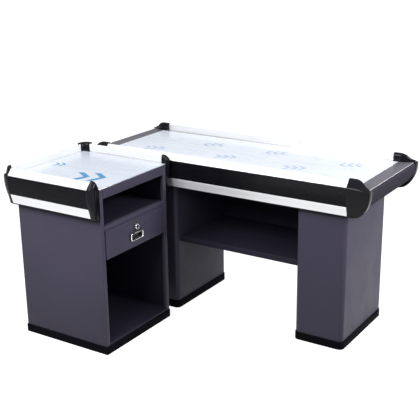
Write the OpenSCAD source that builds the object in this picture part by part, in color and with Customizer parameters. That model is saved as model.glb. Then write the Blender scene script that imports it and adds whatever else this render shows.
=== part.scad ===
// Supermarket checkout counter in two units that stand butted together:
// a square side cabinet with a cash drawer, and a longer main counter on
// two pedestals with a shelf and a knee space between them.
// +X runs along the main counter, the operator faces the drawer from +X,
// +Y points away from the near side, +Z is up. Origin: middle of the
// footprint, on the floor.

/* [Worktops] */
// Height of both stainless worktops above the floor
top_h = 800; // [760:5:860]
// Thickness of the board under each stainless sheet
board_t = 18; // [15:1:22]
// Thickness of the stainless sheet
steel_t = 1.5; // [1:0.5:2]
// Thickness of the folded body sheets
sheet_t = 1.5; // [1:0.5:2]

/* [Side cabinet] */
// Width of the side cabinet body along X
side_w = 500; // [460:5:540]
// Depth of the side cabinet body along Y
side_d = 500; // [480:5:560]
// Width of the two stiles beside the drawer
stile_w = 24; // [20:1:30]
// Height of the fascia under the worktop edge
fascia_h = 50; // [40:1:60]
// Height of the open compartment above the drawer
compartment_h = 130; // [110:1:160]
// Depth of the folded face members
face_d = 18; // [14:1:22]

/* [Drawer] */
// Height of the drawer front
drawer_front_h = 137; // [125:1:150]
// Depth of the drawer box behind its front
drawer_box_d = 440; // [380:5:445]
// Gap around the drawer front
drawer_gap = 2; // [1.5:0.5:3]

/* [Main counter] */
// Length of the main counter body between its two end faces
main_w = 1300; // [1200:10:1500]
// Depth of the main counter body
main_d = 466; // [440:2:520]
// How far the worktop of the main counter reaches back past the pedestals
back_over = 26; // [0:1:40]
// How far the main counter body reaches past the drawer face, to the left
main_shift = 395; // [360:5:420]
// Width of the left pedestal
left_pedestal_w = 380; // [360:5:400]
// Width of the right pedestal
right_pedestal_w = 246; // [200:2:300]
// Height of the shelf's upper face
shelf_h = 388; // [340:2:440]
// Set-back of the shelf's front edge
shelf_setback = 38; // [20:2:60]
// Height of the shelf's folded front lip
shelf_lip = 30; // [20:1:40]

/* [Plinths] */
// Height of the plinths
plinth_h = 40; // [30:1:60]
// How far the plinths stand out past the body
plinth_out = 4; // [2:1:8]

/* [Edge rails] */
// Distance from the body face to the inner wall of the rim
rim_in = 22; // [20:1:24]
// Rise of the rim above the worktop
rim_h = 36; // [34:1:40]
// Projection of the bumper from the body face
bumper_out = 54; // [53:1:56]
// Height of the bumper
bumper_h = 90; // [85:1:95]
// Length of the end caps along the rails
cap_len = 30; // [25:1:36]
// Length of each straight end of the rounded corner caps
corner_len = 8; // [4:1:20]
// Projection of the end rails from the pedestal faces
end_out = 123; // [118:1:130]
// Projection of the worktop beyond the pedestal end faces
end_in = 44; // [36:1:48]

/* [Handle and lock] */
// Length of the pull ring along Y
ring_w = 94; // [84:1:100]
// Height of the pull ring
ring_h = 38; // [34:1:42]
// Thickness of the pull ring's wire
wire_d = 6; // [5:0.5:7]
// Diameter of the lock's collar
collar_d = 28; // [24:1:30]

/* [Hidden] */
$fn = 48;

// Colours of the finishes
body_grey = [0.31, 0.30, 0.35];
plinth_black = [0.05, 0.05, 0.06];
rail_white = [0.93, 0.94, 0.95];
bumper_black = [0.07, 0.07, 0.08];
end_grey = [0.22, 0.21, 0.23];
steel_silver = [0.84, 0.87, 0.90];
board_tan = [0.70, 0.58, 0.42];
zinc_grey = [0.66, 0.68, 0.70];
chrome = [0.85, 0.86, 0.88];

// Projection and top level of the caps, which stand just proud of the rails
cap_out = bumper_out + 2;
cap_rise = rim_h + 6;
// Inner faces of the caps' feet, which stand on the board beside the sheet
foot_in = 4;
end_foot = 15;
// Level of the underside of the board, below the worktop
board_v = -(steel_t + board_t);
// Level of the lower edge of the bumper and of the skirt, below the worktop
bumper_v = 4 - bumper_h;
skirt_v = bumper_v - 45;
// Projection of the low rim between the two units
far_out = bumper_out - 8;
// Gap between the side cabinet's far rim and the main counter's bumper
unit_gap = 2;

// Main counter body faces
main_x0 = -main_shift;
main_x1 = main_w - main_shift;
main_y0 = side_d + far_out + unit_gap + bumper_out;
main_y1 = main_y0 + main_d;
top_y1 = main_y1 + back_over;
knee_x0 = main_x0 + left_pedestal_w;
knee_x1 = main_x1 - right_pedestal_w;

// Middle of the footprint, which becomes the origin
mid_x = (main_x1 + end_out + 2 - side_w - cap_out) / 2;
mid_y = top_y1 / 2;

body_top = top_h + board_v;
panel_h = body_top - plinth_h;

// Side cabinet face levels
fascia_z = top_h - fascia_h;
shelf_z = fascia_z - compartment_h;
mid_rail_h = 20;
drawer_top_z = shelf_z - mid_rail_h - drawer_gap;
drawer_z = drawer_top_z - drawer_front_h;
drawer_y0 = stile_w + drawer_gap;
drawer_y1 = side_d - drawer_y0;
drawer_mid_y = side_d / 2;

// Drawer box
slide_t = 13;
slide_h = 45;
slide_z = drawer_z + 41;
slide_len = drawer_box_d + 8;
slide_y = stile_w + 3;
box_y0 = slide_y + slide_t;
box_y1 = side_d - box_y0;
box_z0 = drawer_z + 13;
box_z1 = drawer_top_z - 27;
box_x0 = -face_d - drawer_box_d;

// Handle and lock places, on the drawer front
ring_z1 = drawer_top_z - 68;
ring_z0 = ring_z1 - ring_h + wire_d;
ring_x = 6.5;
plate_t = 3;
cup_d = 14;
cup_w = ring_w - 22;
cup_h = 26;
cup_z = (ring_z0 + ring_z1) / 2;
lock_z = drawer_top_z - 38;
barrel_r = 9.5;
plug_r = 7;
cam_reach = 54;

knee_back_t = 1.5;
beam_h = 45;

// Shapes that many pieces share ------------------------------------------

// Places a piece that is given from the drawer face and the near panel
module place() {
    translate([-mid_x, -mid_y, 0]) children();
}

// Box between two corners
module block(lo, hi) {
    translate(lo) cube(hi - lo);
}

// Points of an elliptical arc
function arc(cx, cy, rx, ry, a0, a1, steps) =
    [for (i = [0:steps])
        let (a = a0 + (a1 - a0) * i / steps)
        [cx + rx * cos(a), cy + ry * sin(a)]];

// Section (outward, up from the worktop) run along X from x0 to x1
module run_x(x0, x1, y_face, side) {
    translate([x0, y_face, top_h])
        mirror([0, side < 0 ? 1 : 0, 0])
        rotate([90, 0, 90])
        linear_extrude(x1 - x0)
        children();
}

// Section (outward, up from the worktop) run along Y from y0 to y1
module run_y(y0, y1, x_face, side) {
    translate([x_face, y1, top_h])
        mirror([side < 0 ? 1 : 0, 0, 0])
        rotate([90, 0, 0])
        linear_extrude(y1 - y0)
        children();
}

// Rectangle with four round corners, drawn from its own pieces
module round_rect(w, d, r) {
    translate([r, 0]) square([w - 2 * r, d]);
    translate([0, r]) square([w, d - 2 * r]);
    for (x = [r, w - r])
        for (y = [r, d - r])
            translate([x, y]) circle(r);
}

// Sections ---------------------------------------------------------------

// Aluminium edge rail: rim, sloping shoulder, bumper channel and skirt
module rail_section() {
    web = bumper_out - 15;
    difference() {
        polygon(concat(
            [[rim_in, board_v]],
            arc(rim_in + 6, rim_h - 6, 6, 6, 180, 35, 6),
            [[bumper_out - 4, 7], [bumper_out - 4, 4], [web, 4],
             [web, bumper_v], [web + 4, bumper_v], [web + 4, bumper_v - 2],
             [web - 8, skirt_v], [web - 10.5, skirt_v],
             [web - 3, bumper_v - 2], [web - 3, board_v]]
        ));
        polygon([
            [rim_in + 3, board_v + 3], [rim_in + 3, rim_h - 6],
            [rim_in + 7, rim_h - 4], [bumper_out - 8, 7],
            [web - 3, 7], [web - 3, board_v + 3]
        ]);
    }
}

// Low rim without bumper, for the side that faces the main counter
module low_rim_section() {
    polygon(concat(
        [[rim_in, board_v]],
        arc(rim_in + 6, rim_h - 6, 6, 6, 180, 35, 6),
        [[far_out, 10], [far_out, board_v]]
    ));
}

// Bumper: a moulded strip with a slightly bulging face
module bumper_section() {
    web = bumper_out - 15;
    polygon([
        [web, 4], [bumper_out - 2, 4], [bumper_out - 0.5, 2],
        [bumper_out, -3], [bumper_out, -24], [bumper_out - 1, -42],
        [bumper_out - 3.5, -60], [bumper_out - 7, -74],
        [bumper_out - 10, bumper_v], [web, bumper_v]
    ]);
}

// Outline of a cap that closes a rail: the rail's outline, a little larger
module cap_section(out) {
    bulge = out - bumper_out;
    polygon(concat(
        [[rim_in, board_v], [rim_in, -steel_t], [foot_in, -steel_t]],
        [[foot_in, 12]],
        arc(24, 20, 20, 20, 180, 100, 6),
        [[32, cap_rise], [38, cap_rise - 2], [42, cap_rise - 6]],
        [[bumper_out, 6], [bumper_out + bulge, 0],
         [bumper_out + bulge, -26], [bumper_out - 1 + bulge, -44],
         [bumper_out - 3.5 + bulge, -62], [bumper_out - 8 + bulge, -78],
         [bumper_out - 10 + bulge, bumper_v - 4],
         [bumper_out - 20, skirt_v - 4], [rim_in + 2, skirt_v - 4],
         [rim_in + 2, board_v]]
    ));
}

// Outline of a main counter cap seen from the front: a D with an ear
module end_cap_outline() {
    polygon(concat(
        [[end_foot, skirt_v - 4], [end_foot, cap_rise + 2],
         [end_in, cap_rise + 2]],
        arc(end_in, 0, end_out - end_in + 2, cap_rise + 2, 84, 6, 10),
        arc(30, -10, end_out - 28, 0 - skirt_v - 6, 0, -88, 12),
        [[30, skirt_v - 4]]
    ));
}

// End rail: a hollow D, flat on top and level with the worktop
module end_rail_section() {
    shoulder = end_out - 19;
    difference() {
        polygon(concat(
            [[end_in, 0]],
            arc(shoulder, -15, 19, 15, 90, 0, 6),
            arc(35, -15, end_out - 35, 100, 0, -80, 14),
            [[end_in, -115]]
        ));
        polygon(concat(
            [[end_in + 4, -4]],
            arc(shoulder, -15, 15, 11, 90, 0, 6),
            arc(35, -15, end_out - 39, 96, 0, -76, 14),
            [[end_in + 4, -110]]
        ));
    }
}

// Side cabinet -----------------------------------------------------------

module side_plinth() color(plinth_black) place()
    difference() {
        block([-side_w - plinth_out, -plinth_out, 0],
              [plinth_out, side_d + plinth_out, plinth_h]);
        block([-side_w + 14, 14, -1], [-14, side_d - 14, plinth_h - 2]);
    }

module side_floor_panel() color(body_grey) place() {
    block([-side_w + sheet_t, sheet_t, plinth_h + 10],
          [-face_d, side_d - sheet_t, plinth_h + 10 + sheet_t]);
    block([-face_d, stile_w, plinth_h + 10],
          [0, side_d - stile_w, plinth_h + 10 + sheet_t]);
    block([-sheet_t, stile_w, plinth_h],
          [0, side_d - stile_w, plinth_h + 10]);
}

module side_near_panel() color(body_grey) place()
    block([-side_w, 0, plinth_h], [-face_d, sheet_t, body_top]);

module side_far_panel() color(body_grey) place()
    block([-side_w, side_d - sheet_t, plinth_h],
          [-face_d, side_d, body_top]);

module side_back_panel() color(body_grey) place()
    block([-side_w, sheet_t, plinth_h],
          [-side_w + sheet_t, side_d - sheet_t, body_top]);

// Folded upright at one side of the face: a channel open to the rear
module stile() {
    difference() {
        block([-face_d, 0, plinth_h], [0, stile_w, body_top]);
        block([-face_d - 1, sheet_t, plinth_h - 1],
              [-sheet_t, stile_w - sheet_t, body_top + 1]);
    }
}

module side_near_stile() color(body_grey) place() stile();

module side_far_stile() color(body_grey) place()
    translate([0, side_d, 0]) mirror([0, 1, 0]) stile();

module side_fascia() color(body_grey) place() {
    block([-sheet_t, 0, body_top], [0, side_d, top_h - steel_t]);
    block([-sheet_t, stile_w, fascia_z], [0, side_d - stile_w, body_top]);
    block([-face_d, stile_w, fascia_z],
          [-sheet_t, side_d - stile_w, fascia_z + sheet_t]);
}

module side_mid_rail() color(body_grey) place()
    difference() {
        block([-face_d, stile_w, shelf_z - mid_rail_h],
              [0, side_d - stile_w, shelf_z]);
        block([-face_d - 1, stile_w - 1, shelf_z - mid_rail_h + sheet_t],
              [-sheet_t, side_d - stile_w + 1, shelf_z - sheet_t]);
    }

module side_compartment_shelf() color(body_grey) place()
    block([-side_w + sheet_t, sheet_t, shelf_z - sheet_t],
          [-face_d, side_d - sheet_t, shelf_z]);

// Plan of the side cabinet's board and sheet: square at the drawer face,
// rounded with the rails at its two left corners
module side_top_plan(front) {
    translate([-side_w, -rim_in])
        square([side_w - front, side_d + 2 * rim_in]);
    translate([-side_w - rim_in, 0]) square([rim_in, side_d]);
    for (y = [0, side_d])
        translate([-side_w, y]) circle(rim_in);
}

module side_top_board() color(board_tan) place()
    translate([0, 0, body_top]) linear_extrude(board_t)
        side_top_plan(sheet_t);

// Plan of a rounded corner cap's foot on the board
module corner_foot() {
    translate([0, -rim_in]) square([corner_len, rim_in - foot_in]);
    translate([-rim_in, 0]) square([rim_in - foot_in, corner_len]);
    intersection() {
        difference() {
            circle(rim_in + 1);
            circle(foot_in);
        }
        translate([-rim_in - 1, -rim_in - 1]) square(rim_in + 1);
    }
}

// The sheet is notched round the feet of the four caps
module side_steel_top() color(steel_silver) place()
    translate([0, 0, top_h - steel_t]) linear_extrude(steel_t)
        difference() {
            side_top_plan(0);
            translate([-side_w, 0]) corner_foot();
            translate([-side_w, side_d]) mirror([0, 1]) corner_foot();
            for (y = [-rim_in, side_d + foot_in])
                translate([-cap_len, y])
                    square([cap_len + 1, rim_in - foot_in]);
        }

module side_near_rail() color(rail_white) place()
    run_x(-side_w + corner_len, -cap_len, 0, -1) rail_section();

module side_left_rail() color(rail_white) place()
    run_y(corner_len, side_d - corner_len, -side_w, -1) rail_section();

module side_far_rail() color(rail_white) place()
    run_x(-side_w + corner_len, -cap_len, side_d, 1) low_rim_section();

module side_near_bumper() color(bumper_black) place()
    run_x(-side_w + corner_len, -cap_len, 0, -1) bumper_section();

module side_left_bumper() color(bumper_black) place()
    run_y(corner_len, side_d - corner_len, -side_w, -1) bumper_section();

// Rounded corner cap about the body's corner with a straight stub each way
module side_corner() {
    translate([0, 0, top_h]) rotate([0, 0, 180])
        rotate_extrude(angle = 90) cap_section(cap_out);
    run_x(0, corner_len, 0, -1) cap_section(cap_out);
    run_y(0, corner_len, 0, -1) cap_section(cap_out);
}

module side_corner_cap() color(bumper_black) place()
    translate([-side_w, 0, 0]) side_corner();

module side_rear_corner_cap() color(bumper_black) place()
    intersection() {
        translate([-side_w, side_d, 0]) mirror([0, 1, 0]) side_corner();
        block([-side_w - cap_out - 1, side_d - corner_len - 1, 0],
              [-side_w + corner_len + 1, side_d + far_out,
               top_h + 100]);
    }

module side_near_end_cap() color(bumper_black) place()
    run_x(-cap_len, 0, 0, -1) cap_section(cap_out);

module side_far_end_cap() color(bumper_black) place()
    intersection() {
        run_x(-cap_len, 0, side_d, 1) cap_section(cap_out);
        block([-cap_len - 1, side_d, top_h - 60],
              [1, side_d + far_out, top_h + 100]);
    }

// Drawer and its slides --------------------------------------------------

// Draws its children at the near side and mirrored at the far side
module both_sides() {
    children();
    translate([0, side_d, 0]) mirror([0, 1, 0]) children();
}

// Channel lying along X that opens towards +Y
module channel(x0, x1, y0, y1, z0, z1, t) {
    difference() {
        block([x0, y0, z0], [x1, y1, z1]);
        block([x0 - 1, y0 + t, z0 + t], [x1 + 1, y1 + 1, z1 - t]);
    }
}

module slide_brackets() color(zinc_grey) place() both_sides()
    difference() {
        block([-face_d - slide_len, sheet_t, slide_z - 3],
              [-face_d - 2, slide_y, slide_z + slide_h + 3]);
        block([-face_d - slide_len - 1, sheet_t - 1, slide_z - 1],
              [-face_d, slide_y - 2, slide_z + slide_h + 1]);
    }

module slide_cabinet_members() color(zinc_grey) place() both_sides()
    channel(-face_d - slide_len, -face_d - 2, slide_y, slide_y + 8,
            slide_z, slide_z + slide_h, 1.4);

module slide_middle_members() color(zinc_grey) place() both_sides()
    channel(-face_d - slide_len, -face_d - 2, slide_y + 2.6, slide_y + 9,
            slide_z + 3, slide_z + slide_h - 3, 1.4);

module slide_drawer_members() color(zinc_grey) place() both_sides()
    translate([0, 2 * slide_y + slide_t, 0]) mirror([0, 1, 0])
        channel(-face_d - slide_len, -face_d - 2, slide_y, slide_y + 7,
                slide_z + 6, slide_z + slide_h - 6, 1.4);

// Pan-head screws that hold the cabinet members to the brackets
module slide_screws() color(zinc_grey) place() both_sides()
    for (x = [-face_d - slide_len + 40, -face_d - slide_len / 2, -face_d - 40])
        translate([x, slide_y + 1.4, slide_z + slide_h / 2])
            rotate([-90, 0, 0]) cylinder(h = 1, r = 3.5);

module drawer_front() color(body_grey) place()
    difference() {
        block([-face_d, drawer_y0, drawer_z], [0, drawer_y1, drawer_top_z]);
        block([-face_d - 1, drawer_y0 + sheet_t, drawer_z + sheet_t],
              [-sheet_t, drawer_y1 - sheet_t, drawer_top_z - sheet_t]);
        block([-face_d, drawer_mid_y - cup_w / 2 - 2, cup_z - cup_h / 2 - 2],
              [1, drawer_mid_y + cup_w / 2 + 2, cup_z + cup_h / 2 + 2]);
        translate([-face_d, drawer_mid_y, lock_z]) rotate([0, 90, 0])
            cylinder(h = 2 * face_d, r = barrel_r);
    }

module drawer_floor() color(zinc_grey) place()
    block([box_x0, box_y0, box_z0], [-face_d, box_y1, box_z0 + sheet_t]);

module drawer_near_side() color(zinc_grey) place()
    block([box_x0, box_y0, box_z0 + sheet_t],
          [-face_d, box_y0 + sheet_t, box_z1]);

module drawer_far_side() color(zinc_grey) place()
    block([box_x0, box_y1 - sheet_t, box_z0 + sheet_t],
          [-face_d, box_y1, box_z1]);

module drawer_back() color(zinc_grey) place()
    block([box_x0, box_y0 + sheet_t, box_z0 + sheet_t],
          [box_x0 + sheet_t, box_y1 - sheet_t, box_z1]);

// Handle and lock --------------------------------------------------------

// Turns a plan (along Y, up) into a plate that grows towards +X
module face_plate(x0, t) {
    translate([x0, drawer_mid_y, 0]) rotate([90, 0, 90])
        linear_extrude(t) children();
}

// Bell outline: wide around the ring, narrow around the lock
module bell_outline() {
    w = ring_w + 10;
    h = ring_h + 8;
    z0 = cup_z - h / 2;
    translate([-w / 2, z0]) round_rect(w, h, 9);
    polygon([[-w / 2 + 9, z0 + h], [-collar_d / 2 - 6, lock_z + 4],
             [collar_d / 2 + 6, lock_z + 4], [w / 2 - 9, z0 + h]]);
    translate([0, lock_z]) circle(collar_d / 2 + 6.5);
}

// Bell-shaped plate with a finger cup sunk through the drawer front
module handle_plate() color(bumper_black) place() {
    difference() {
        face_plate(0, plate_t) bell_outline();
        block([-1, drawer_mid_y - cup_w / 2, cup_z - cup_h / 2],
              [plate_t + 1, drawer_mid_y + cup_w / 2, cup_z + cup_h / 2]);
        translate([-1, drawer_mid_y, lock_z]) rotate([0, 90, 0])
            cylinder(h = plate_t + 2, r = barrel_r);
    }
    difference() {
        block([-cup_d, drawer_mid_y - cup_w / 2 - 2, cup_z - cup_h / 2 - 2],
              [0, drawer_mid_y + cup_w / 2 + 2, cup_z + cup_h / 2 + 2]);
        block([-cup_d + 2, drawer_mid_y - cup_w / 2, cup_z - cup_h / 2],
              [1, drawer_mid_y + cup_w / 2, cup_z + cup_h / 2]);
    }
    for (s = [-1, 1])
        translate([plate_t, drawer_mid_y + s * (ring_w / 2 - 20), 0])
            difference() {
                block([0, -4, ring_z1 - 4.5], [8, 4, ring_z1 + 4.5]);
                translate([ring_x - plate_t, 5, ring_z1])
                    rotate([90, 0, 0]) cylinder(h = 10, r = wire_d / 2 + 0.4);
            }
}

// Wire ring with round corners; its upper bar turns in the plate's lugs
module handle_ring() color(chrome) place() {
    r = 9;
    half = ring_w / 2 - wire_d / 2;
    for (z = [ring_z0, ring_z1])
        translate([ring_x, drawer_mid_y + half - r, z])
            rotate([90, 0, 0])
            cylinder(h = 2 * (half - r), r = wire_d / 2);
    for (s = [-1, 1])
        translate([ring_x, drawer_mid_y + s * half, ring_z0 + r])
            cylinder(h = ring_z1 - ring_z0 - 2 * r, r = wire_d / 2);
    for (a = [0:3])
        translate([ring_x,
                   drawer_mid_y + (a == 0 || a == 3 ? 1 : -1) * (half - r),
                   a < 2 ? ring_z1 - r : ring_z0 + r])
            rotate([90, 0, 90]) rotate([0, 0, a * 90])
            rotate_extrude(angle = 90) translate([r, 0]) circle(wire_d / 2);
}

// Screws from inside the drawer that hold the plate
module handle_screws() color(zinc_grey) place()
    for (s = [-1, 1])
        translate([-sheet_t - 2, drawer_mid_y + s * (ring_w / 2 + 1), cup_z])
            rotate([0, 90, 0]) cylinder(h = 2, r = 3.5);

module lock_collar() color(chrome) place()
    translate([0, drawer_mid_y, lock_z]) rotate([0, 90, 0])
        difference() {
            union() {
                translate([0, 0, plate_t])
                    cylinder(h = 11, r = collar_d / 2);
                translate([0, 0, -face_d - 2])
                    cylinder(h = face_d + 2 + plate_t, r = barrel_r);
            }
            translate([0, 0, -face_d - 3])
                cylinder(h = face_d + 40, r = plug_r + 0.1);
        }

module lock_plug() color(end_grey) place()
    translate([0, drawer_mid_y, lock_z]) rotate([0, 90, 0])
        difference() {
            translate([0, 0, -face_d - 6.5])
                cylinder(h = face_d + 21, r = plug_r);
            translate([-4, -0.8, plate_t + 4]) cube([8, 1.6, 20]);
        }

// Flat cam on the back of the plug; at rest it lies along the drawer
module lock_cam() color(zinc_grey) place()
    translate([-face_d - 9, drawer_mid_y, lock_z]) {
        block([0, 0, -5], [2.5, cam_reach - 5, 5]);
        rotate([0, 90, 0]) cylinder(h = 2.5, r = 8);
        translate([0, cam_reach - 5, 0]) rotate([0, 90, 0])
            cylinder(h = 2.5, r = 5);
    }

module lock_nut() color(zinc_grey) place()
    translate([-sheet_t - 4, drawer_mid_y, lock_z]) rotate([0, 90, 0])
        difference() {
            cylinder(h = 4, r = 14, $fn = 6);
            translate([0, 0, -1]) cylinder(h = 6, r = barrel_r);
        }

// Main counter -----------------------------------------------------------

// Ring with rounded outer corners, closed on top
module main_plinth(x0, x1) {
    w = x1 - x0 + 2 * plinth_out;
    d = main_d + 2 * plinth_out;
    translate([x0 - plinth_out, main_y0 - plinth_out, 0]) difference() {
        linear_extrude(plinth_h) round_rect(w, d, 26);
        translate([18, 18, -1])
            linear_extrude(plinth_h - 1) round_rect(w - 36, d - 36, 12);
    }
}

module main_left_plinth() color(plinth_black) place()
    main_plinth(main_x0, knee_x0);

module main_right_plinth() color(plinth_black) place()
    main_plinth(knee_x1, main_x1);

// Folded sheet box, open at top and bottom, with round upright corners
module pedestal(x0, x1) {
    translate([x0, main_y0, plinth_h]) linear_extrude(panel_h)
        difference() {
            round_rect(x1 - x0, main_d, 22);
            translate([sheet_t, sheet_t])
                round_rect(x1 - x0 - 2 * sheet_t, main_d - 2 * sheet_t,
                           22 - sheet_t);
        }
}

module main_left_pedestal() color(body_grey) place()
    pedestal(main_x0, knee_x0);

module main_right_pedestal() color(body_grey) place()
    pedestal(knee_x1, main_x1);

shelf_y0 = main_y0 + shelf_setback;
shelf_y1 = main_y1 - 22 - knee_back_t;

// Folded shelf: a flat top with a lip turned down at the front and back
module main_shelf() color(body_grey) place() {
    block([knee_x0, shelf_y0, shelf_h - sheet_t],
          [knee_x1, shelf_y1, shelf_h]);
    block([knee_x0, shelf_y0, shelf_h - shelf_lip],
          [knee_x1, shelf_y0 + sheet_t, shelf_h - sheet_t]);
    block([knee_x0, shelf_y1 - sheet_t, shelf_h - shelf_lip],
          [knee_x1, shelf_y1, shelf_h - sheet_t]);
}

// Angle brackets that carry the shelf at the pedestals' inner faces
module shelf_brackets() color(zinc_grey) place()
    for (y = [shelf_y0 + 60, shelf_y1 - 90]) {
        block([knee_x0, y, shelf_h - sheet_t - 26],
              [knee_x0 + 2, y + 30, shelf_h - sheet_t]);
        block([knee_x0 + 2, y, shelf_h - sheet_t - 2],
              [knee_x0 + 26, y + 30, shelf_h - sheet_t]);
        block([knee_x1 - 2, y, shelf_h - sheet_t - 26],
              [knee_x1, y + 30, shelf_h - sheet_t]);
        block([knee_x1 - 26, y, shelf_h - sheet_t - 2],
              [knee_x1 - 2, y + 30, shelf_h - sheet_t]);
    }

module main_back_panel() color(body_grey) place()
    block([knee_x0, shelf_y1, shelf_h - shelf_lip],
          [knee_x1, shelf_y1 + knee_back_t, body_top]);

// Channel that carries the top between the pedestals
module beam(y0) {
    difference() {
        block([knee_x0, y0, body_top - beam_h], [knee_x1, y0 + 30, body_top]);
        block([knee_x0 - 1, y0 + 2, body_top - beam_h - 1],
              [knee_x1 + 1, y0 + 28, body_top - 2]);
    }
}

module main_front_beam() color(body_grey) place() beam(main_y0 + 24);

module main_rear_beam() color(body_grey) place() beam(shelf_y1 - 30);

module main_top_board() color(board_tan) place()
    block([main_x0 - end_in, main_y0 - rim_in, body_top],
          [main_x1 + end_in, top_y1 + rim_in, top_h - steel_t]);

// The sheet is notched round the feet of the four caps
module main_steel_top() color(steel_silver) place()
    difference() {
        block([main_x0 - end_in, main_y0 - rim_in, top_h - steel_t],
              [main_x1 + end_in, top_y1 + rim_in, top_h]);
        for (x = [main_x0 - end_in, main_x1 + end_foot])
            for (y = [main_y0 - rim_in, top_y1 + foot_in])
                block([x, y, top_h - 2 * steel_t],
                      [x + end_in - end_foot, y + rim_in - foot_in,
                       top_h + 1]);
    }

module main_front_rail() color(rail_white) place()
    run_x(main_x0 - 15, main_x1 + 15, main_y0, -1) rail_section();

module main_back_rail() color(rail_white) place()
    run_x(main_x0 - 15, main_x1 + 15, top_y1, 1) rail_section();

module main_front_bumper() color(bumper_black) place()
    run_x(main_x0 - 15, main_x1 + 15, main_y0, -1) bumper_section();

module main_back_bumper() color(bumper_black) place()
    run_x(main_x0 - 15, main_x1 + 15, top_y1, 1) bumper_section();

module main_left_end_rail() color(end_grey) place()
    run_y(main_y0 - rim_in, top_y1 + rim_in, main_x0, -1)
        end_rail_section();

module main_right_end_rail() color(end_grey) place()
    run_y(main_y0 - rim_in, top_y1 + rim_in, main_x1, 1)
        end_rail_section();

// Corner cap: the D outline seen along Y, cut to the rail outline seen
// along X. Drawn for the front right corner.
module main_cap() {
    difference() {
        intersection() {
            run_y(-cap_out - 1, 20, 0, 1) end_cap_outline();
            run_x(0, end_out + 10, 0, -1) cap_section(cap_out);
        }
        // Over the end rail the foot ends at the worktop's level
        block([end_in, -rim_in, top_h - 2 * steel_t],
              [end_out + 10, 0, top_h]);
    }
}

module main_front_right_cap() color(bumper_black) place()
    translate([main_x1, main_y0, 0]) main_cap();

module main_front_left_cap() color(bumper_black) place()
    translate([main_x0, main_y0, 0]) mirror([1, 0, 0]) main_cap();

module main_back_right_cap() color(bumper_black) place()
    translate([main_x1, top_y1, 0]) mirror([0, 1, 0]) main_cap();

module main_back_left_cap() color(bumper_black) place()
    translate([main_x0, top_y1, 0])
        mirror([1, 0, 0]) mirror([0, 1, 0]) main_cap();

side_plinth();
side_floor_panel();
side_near_panel();
side_far_panel();
side_back_panel();
side_near_stile();
side_far_stile();
side_fascia();
side_mid_rail();
side_compartment_shelf();
side_top_board();
side_steel_top();
side_near_rail();
side_left_rail();
side_far_rail();
side_near_bumper();
side_left_bumper();
side_corner_cap();
side_near_end_cap();
side_rear_corner_cap();
side_far_end_cap();
slide_brackets();
slide_cabinet_members();
slide_middle_members();
slide_drawer_members();
slide_screws();
drawer_front();
drawer_floor();
drawer_near_side();
drawer_far_side();
drawer_back();
handle_plate();
handle_ring();
handle_screws();
lock_collar();
lock_plug();
lock_cam();
lock_nut();
main_left_plinth();
main_right_plinth();
main_left_pedestal();
main_right_pedestal();
main_shelf();
shelf_brackets();
main_back_panel();
main_front_beam();
main_rear_beam();
main_top_board();
main_steel_top();
main_front_rail();
main_back_rail();
main_front_bumper();
main_back_bumper();
main_left_end_rail();
main_right_end_rail();
main_front_left_cap();
main_front_right_cap();
main_back_left_cap();
main_back_right_cap();
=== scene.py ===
"""Looks of the checkout counter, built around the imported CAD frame. Metres, Z up."""

import math

import bmesh
import bpy
from mathutils import Matrix, Vector
from mathutils.geometry import tessellate_polygon


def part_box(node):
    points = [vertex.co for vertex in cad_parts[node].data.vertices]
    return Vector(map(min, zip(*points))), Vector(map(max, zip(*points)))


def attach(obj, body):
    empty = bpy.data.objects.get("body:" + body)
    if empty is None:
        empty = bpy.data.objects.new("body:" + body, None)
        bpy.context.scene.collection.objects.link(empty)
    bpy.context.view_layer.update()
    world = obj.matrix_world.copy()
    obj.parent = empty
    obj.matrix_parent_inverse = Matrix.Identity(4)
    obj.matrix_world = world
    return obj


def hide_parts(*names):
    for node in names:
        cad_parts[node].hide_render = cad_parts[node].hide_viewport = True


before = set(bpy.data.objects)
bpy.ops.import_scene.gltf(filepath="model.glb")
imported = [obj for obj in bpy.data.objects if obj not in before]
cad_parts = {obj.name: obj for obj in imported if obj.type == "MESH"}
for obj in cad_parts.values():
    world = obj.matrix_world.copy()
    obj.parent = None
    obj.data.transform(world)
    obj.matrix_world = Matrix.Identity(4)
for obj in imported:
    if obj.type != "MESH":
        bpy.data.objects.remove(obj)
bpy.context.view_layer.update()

MM = 0.001
SHEET = 1.5 * MM          # thickness of the folded body sheets
BEND = 2.4 * MM           # bend radius of the body sheets, at mid-thickness
EDGE = 0.5 * MM           # rounding of cut edges


# Places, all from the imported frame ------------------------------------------

def low(node_name):
    """Lowest corner of a CAD node."""
    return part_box(node_name)[0]


def high(node_name):
    """Highest corner of a CAD node."""
    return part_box(node_name)[1]


TOP = high("side_steel_top").z

SIDE_X0 = low("side_back_panel").x
SIDE_X1 = high("side_near_stile").x
SIDE_Y0 = low("side_near_panel").y
SIDE_Y1 = high("side_far_panel").y
MID_Y = (SIDE_Y0 + SIDE_Y1) / 2
STILE_W = high("side_near_stile").y - low("side_near_stile").y
FACE_D = 18 * MM          # depth of the folded face members

MAIN_X0 = low("main_left_pedestal").x
MAIN_X1 = high("main_right_pedestal").x
MAIN_Y0 = low("main_left_pedestal").y
TOP_Y1 = high("main_steel_top").y - 22 * MM      # face that the back edge rail stands out from

BODY_Z0 = low("side_near_panel").z
BODY_Z1 = high("side_near_panel").z


# Outlines --------------------------------------------------------------------

def arc(cx, cy, rx, ry, start, end, steps):
    """Points of an elliptical arc between two angles in degrees."""
    angles = [math.radians(start + (end - start) * i / steps) for i in range(steps + 1)]
    return [(cx + rx * math.cos(a), cy + ry * math.sin(a)) for a in angles]


def mm(points):
    """Points given in millimetres, in metres."""
    return [(x * MM, y * MM) for x, y in points]


def area(loop):
    """Signed area of a closed outline, positive if it runs counter-clockwise."""
    pairs = zip(loop, loop[1:] + loop[:1])
    return sum(a[0] * b[1] - b[0] * a[1] for a, b in pairs) / 2


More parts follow.
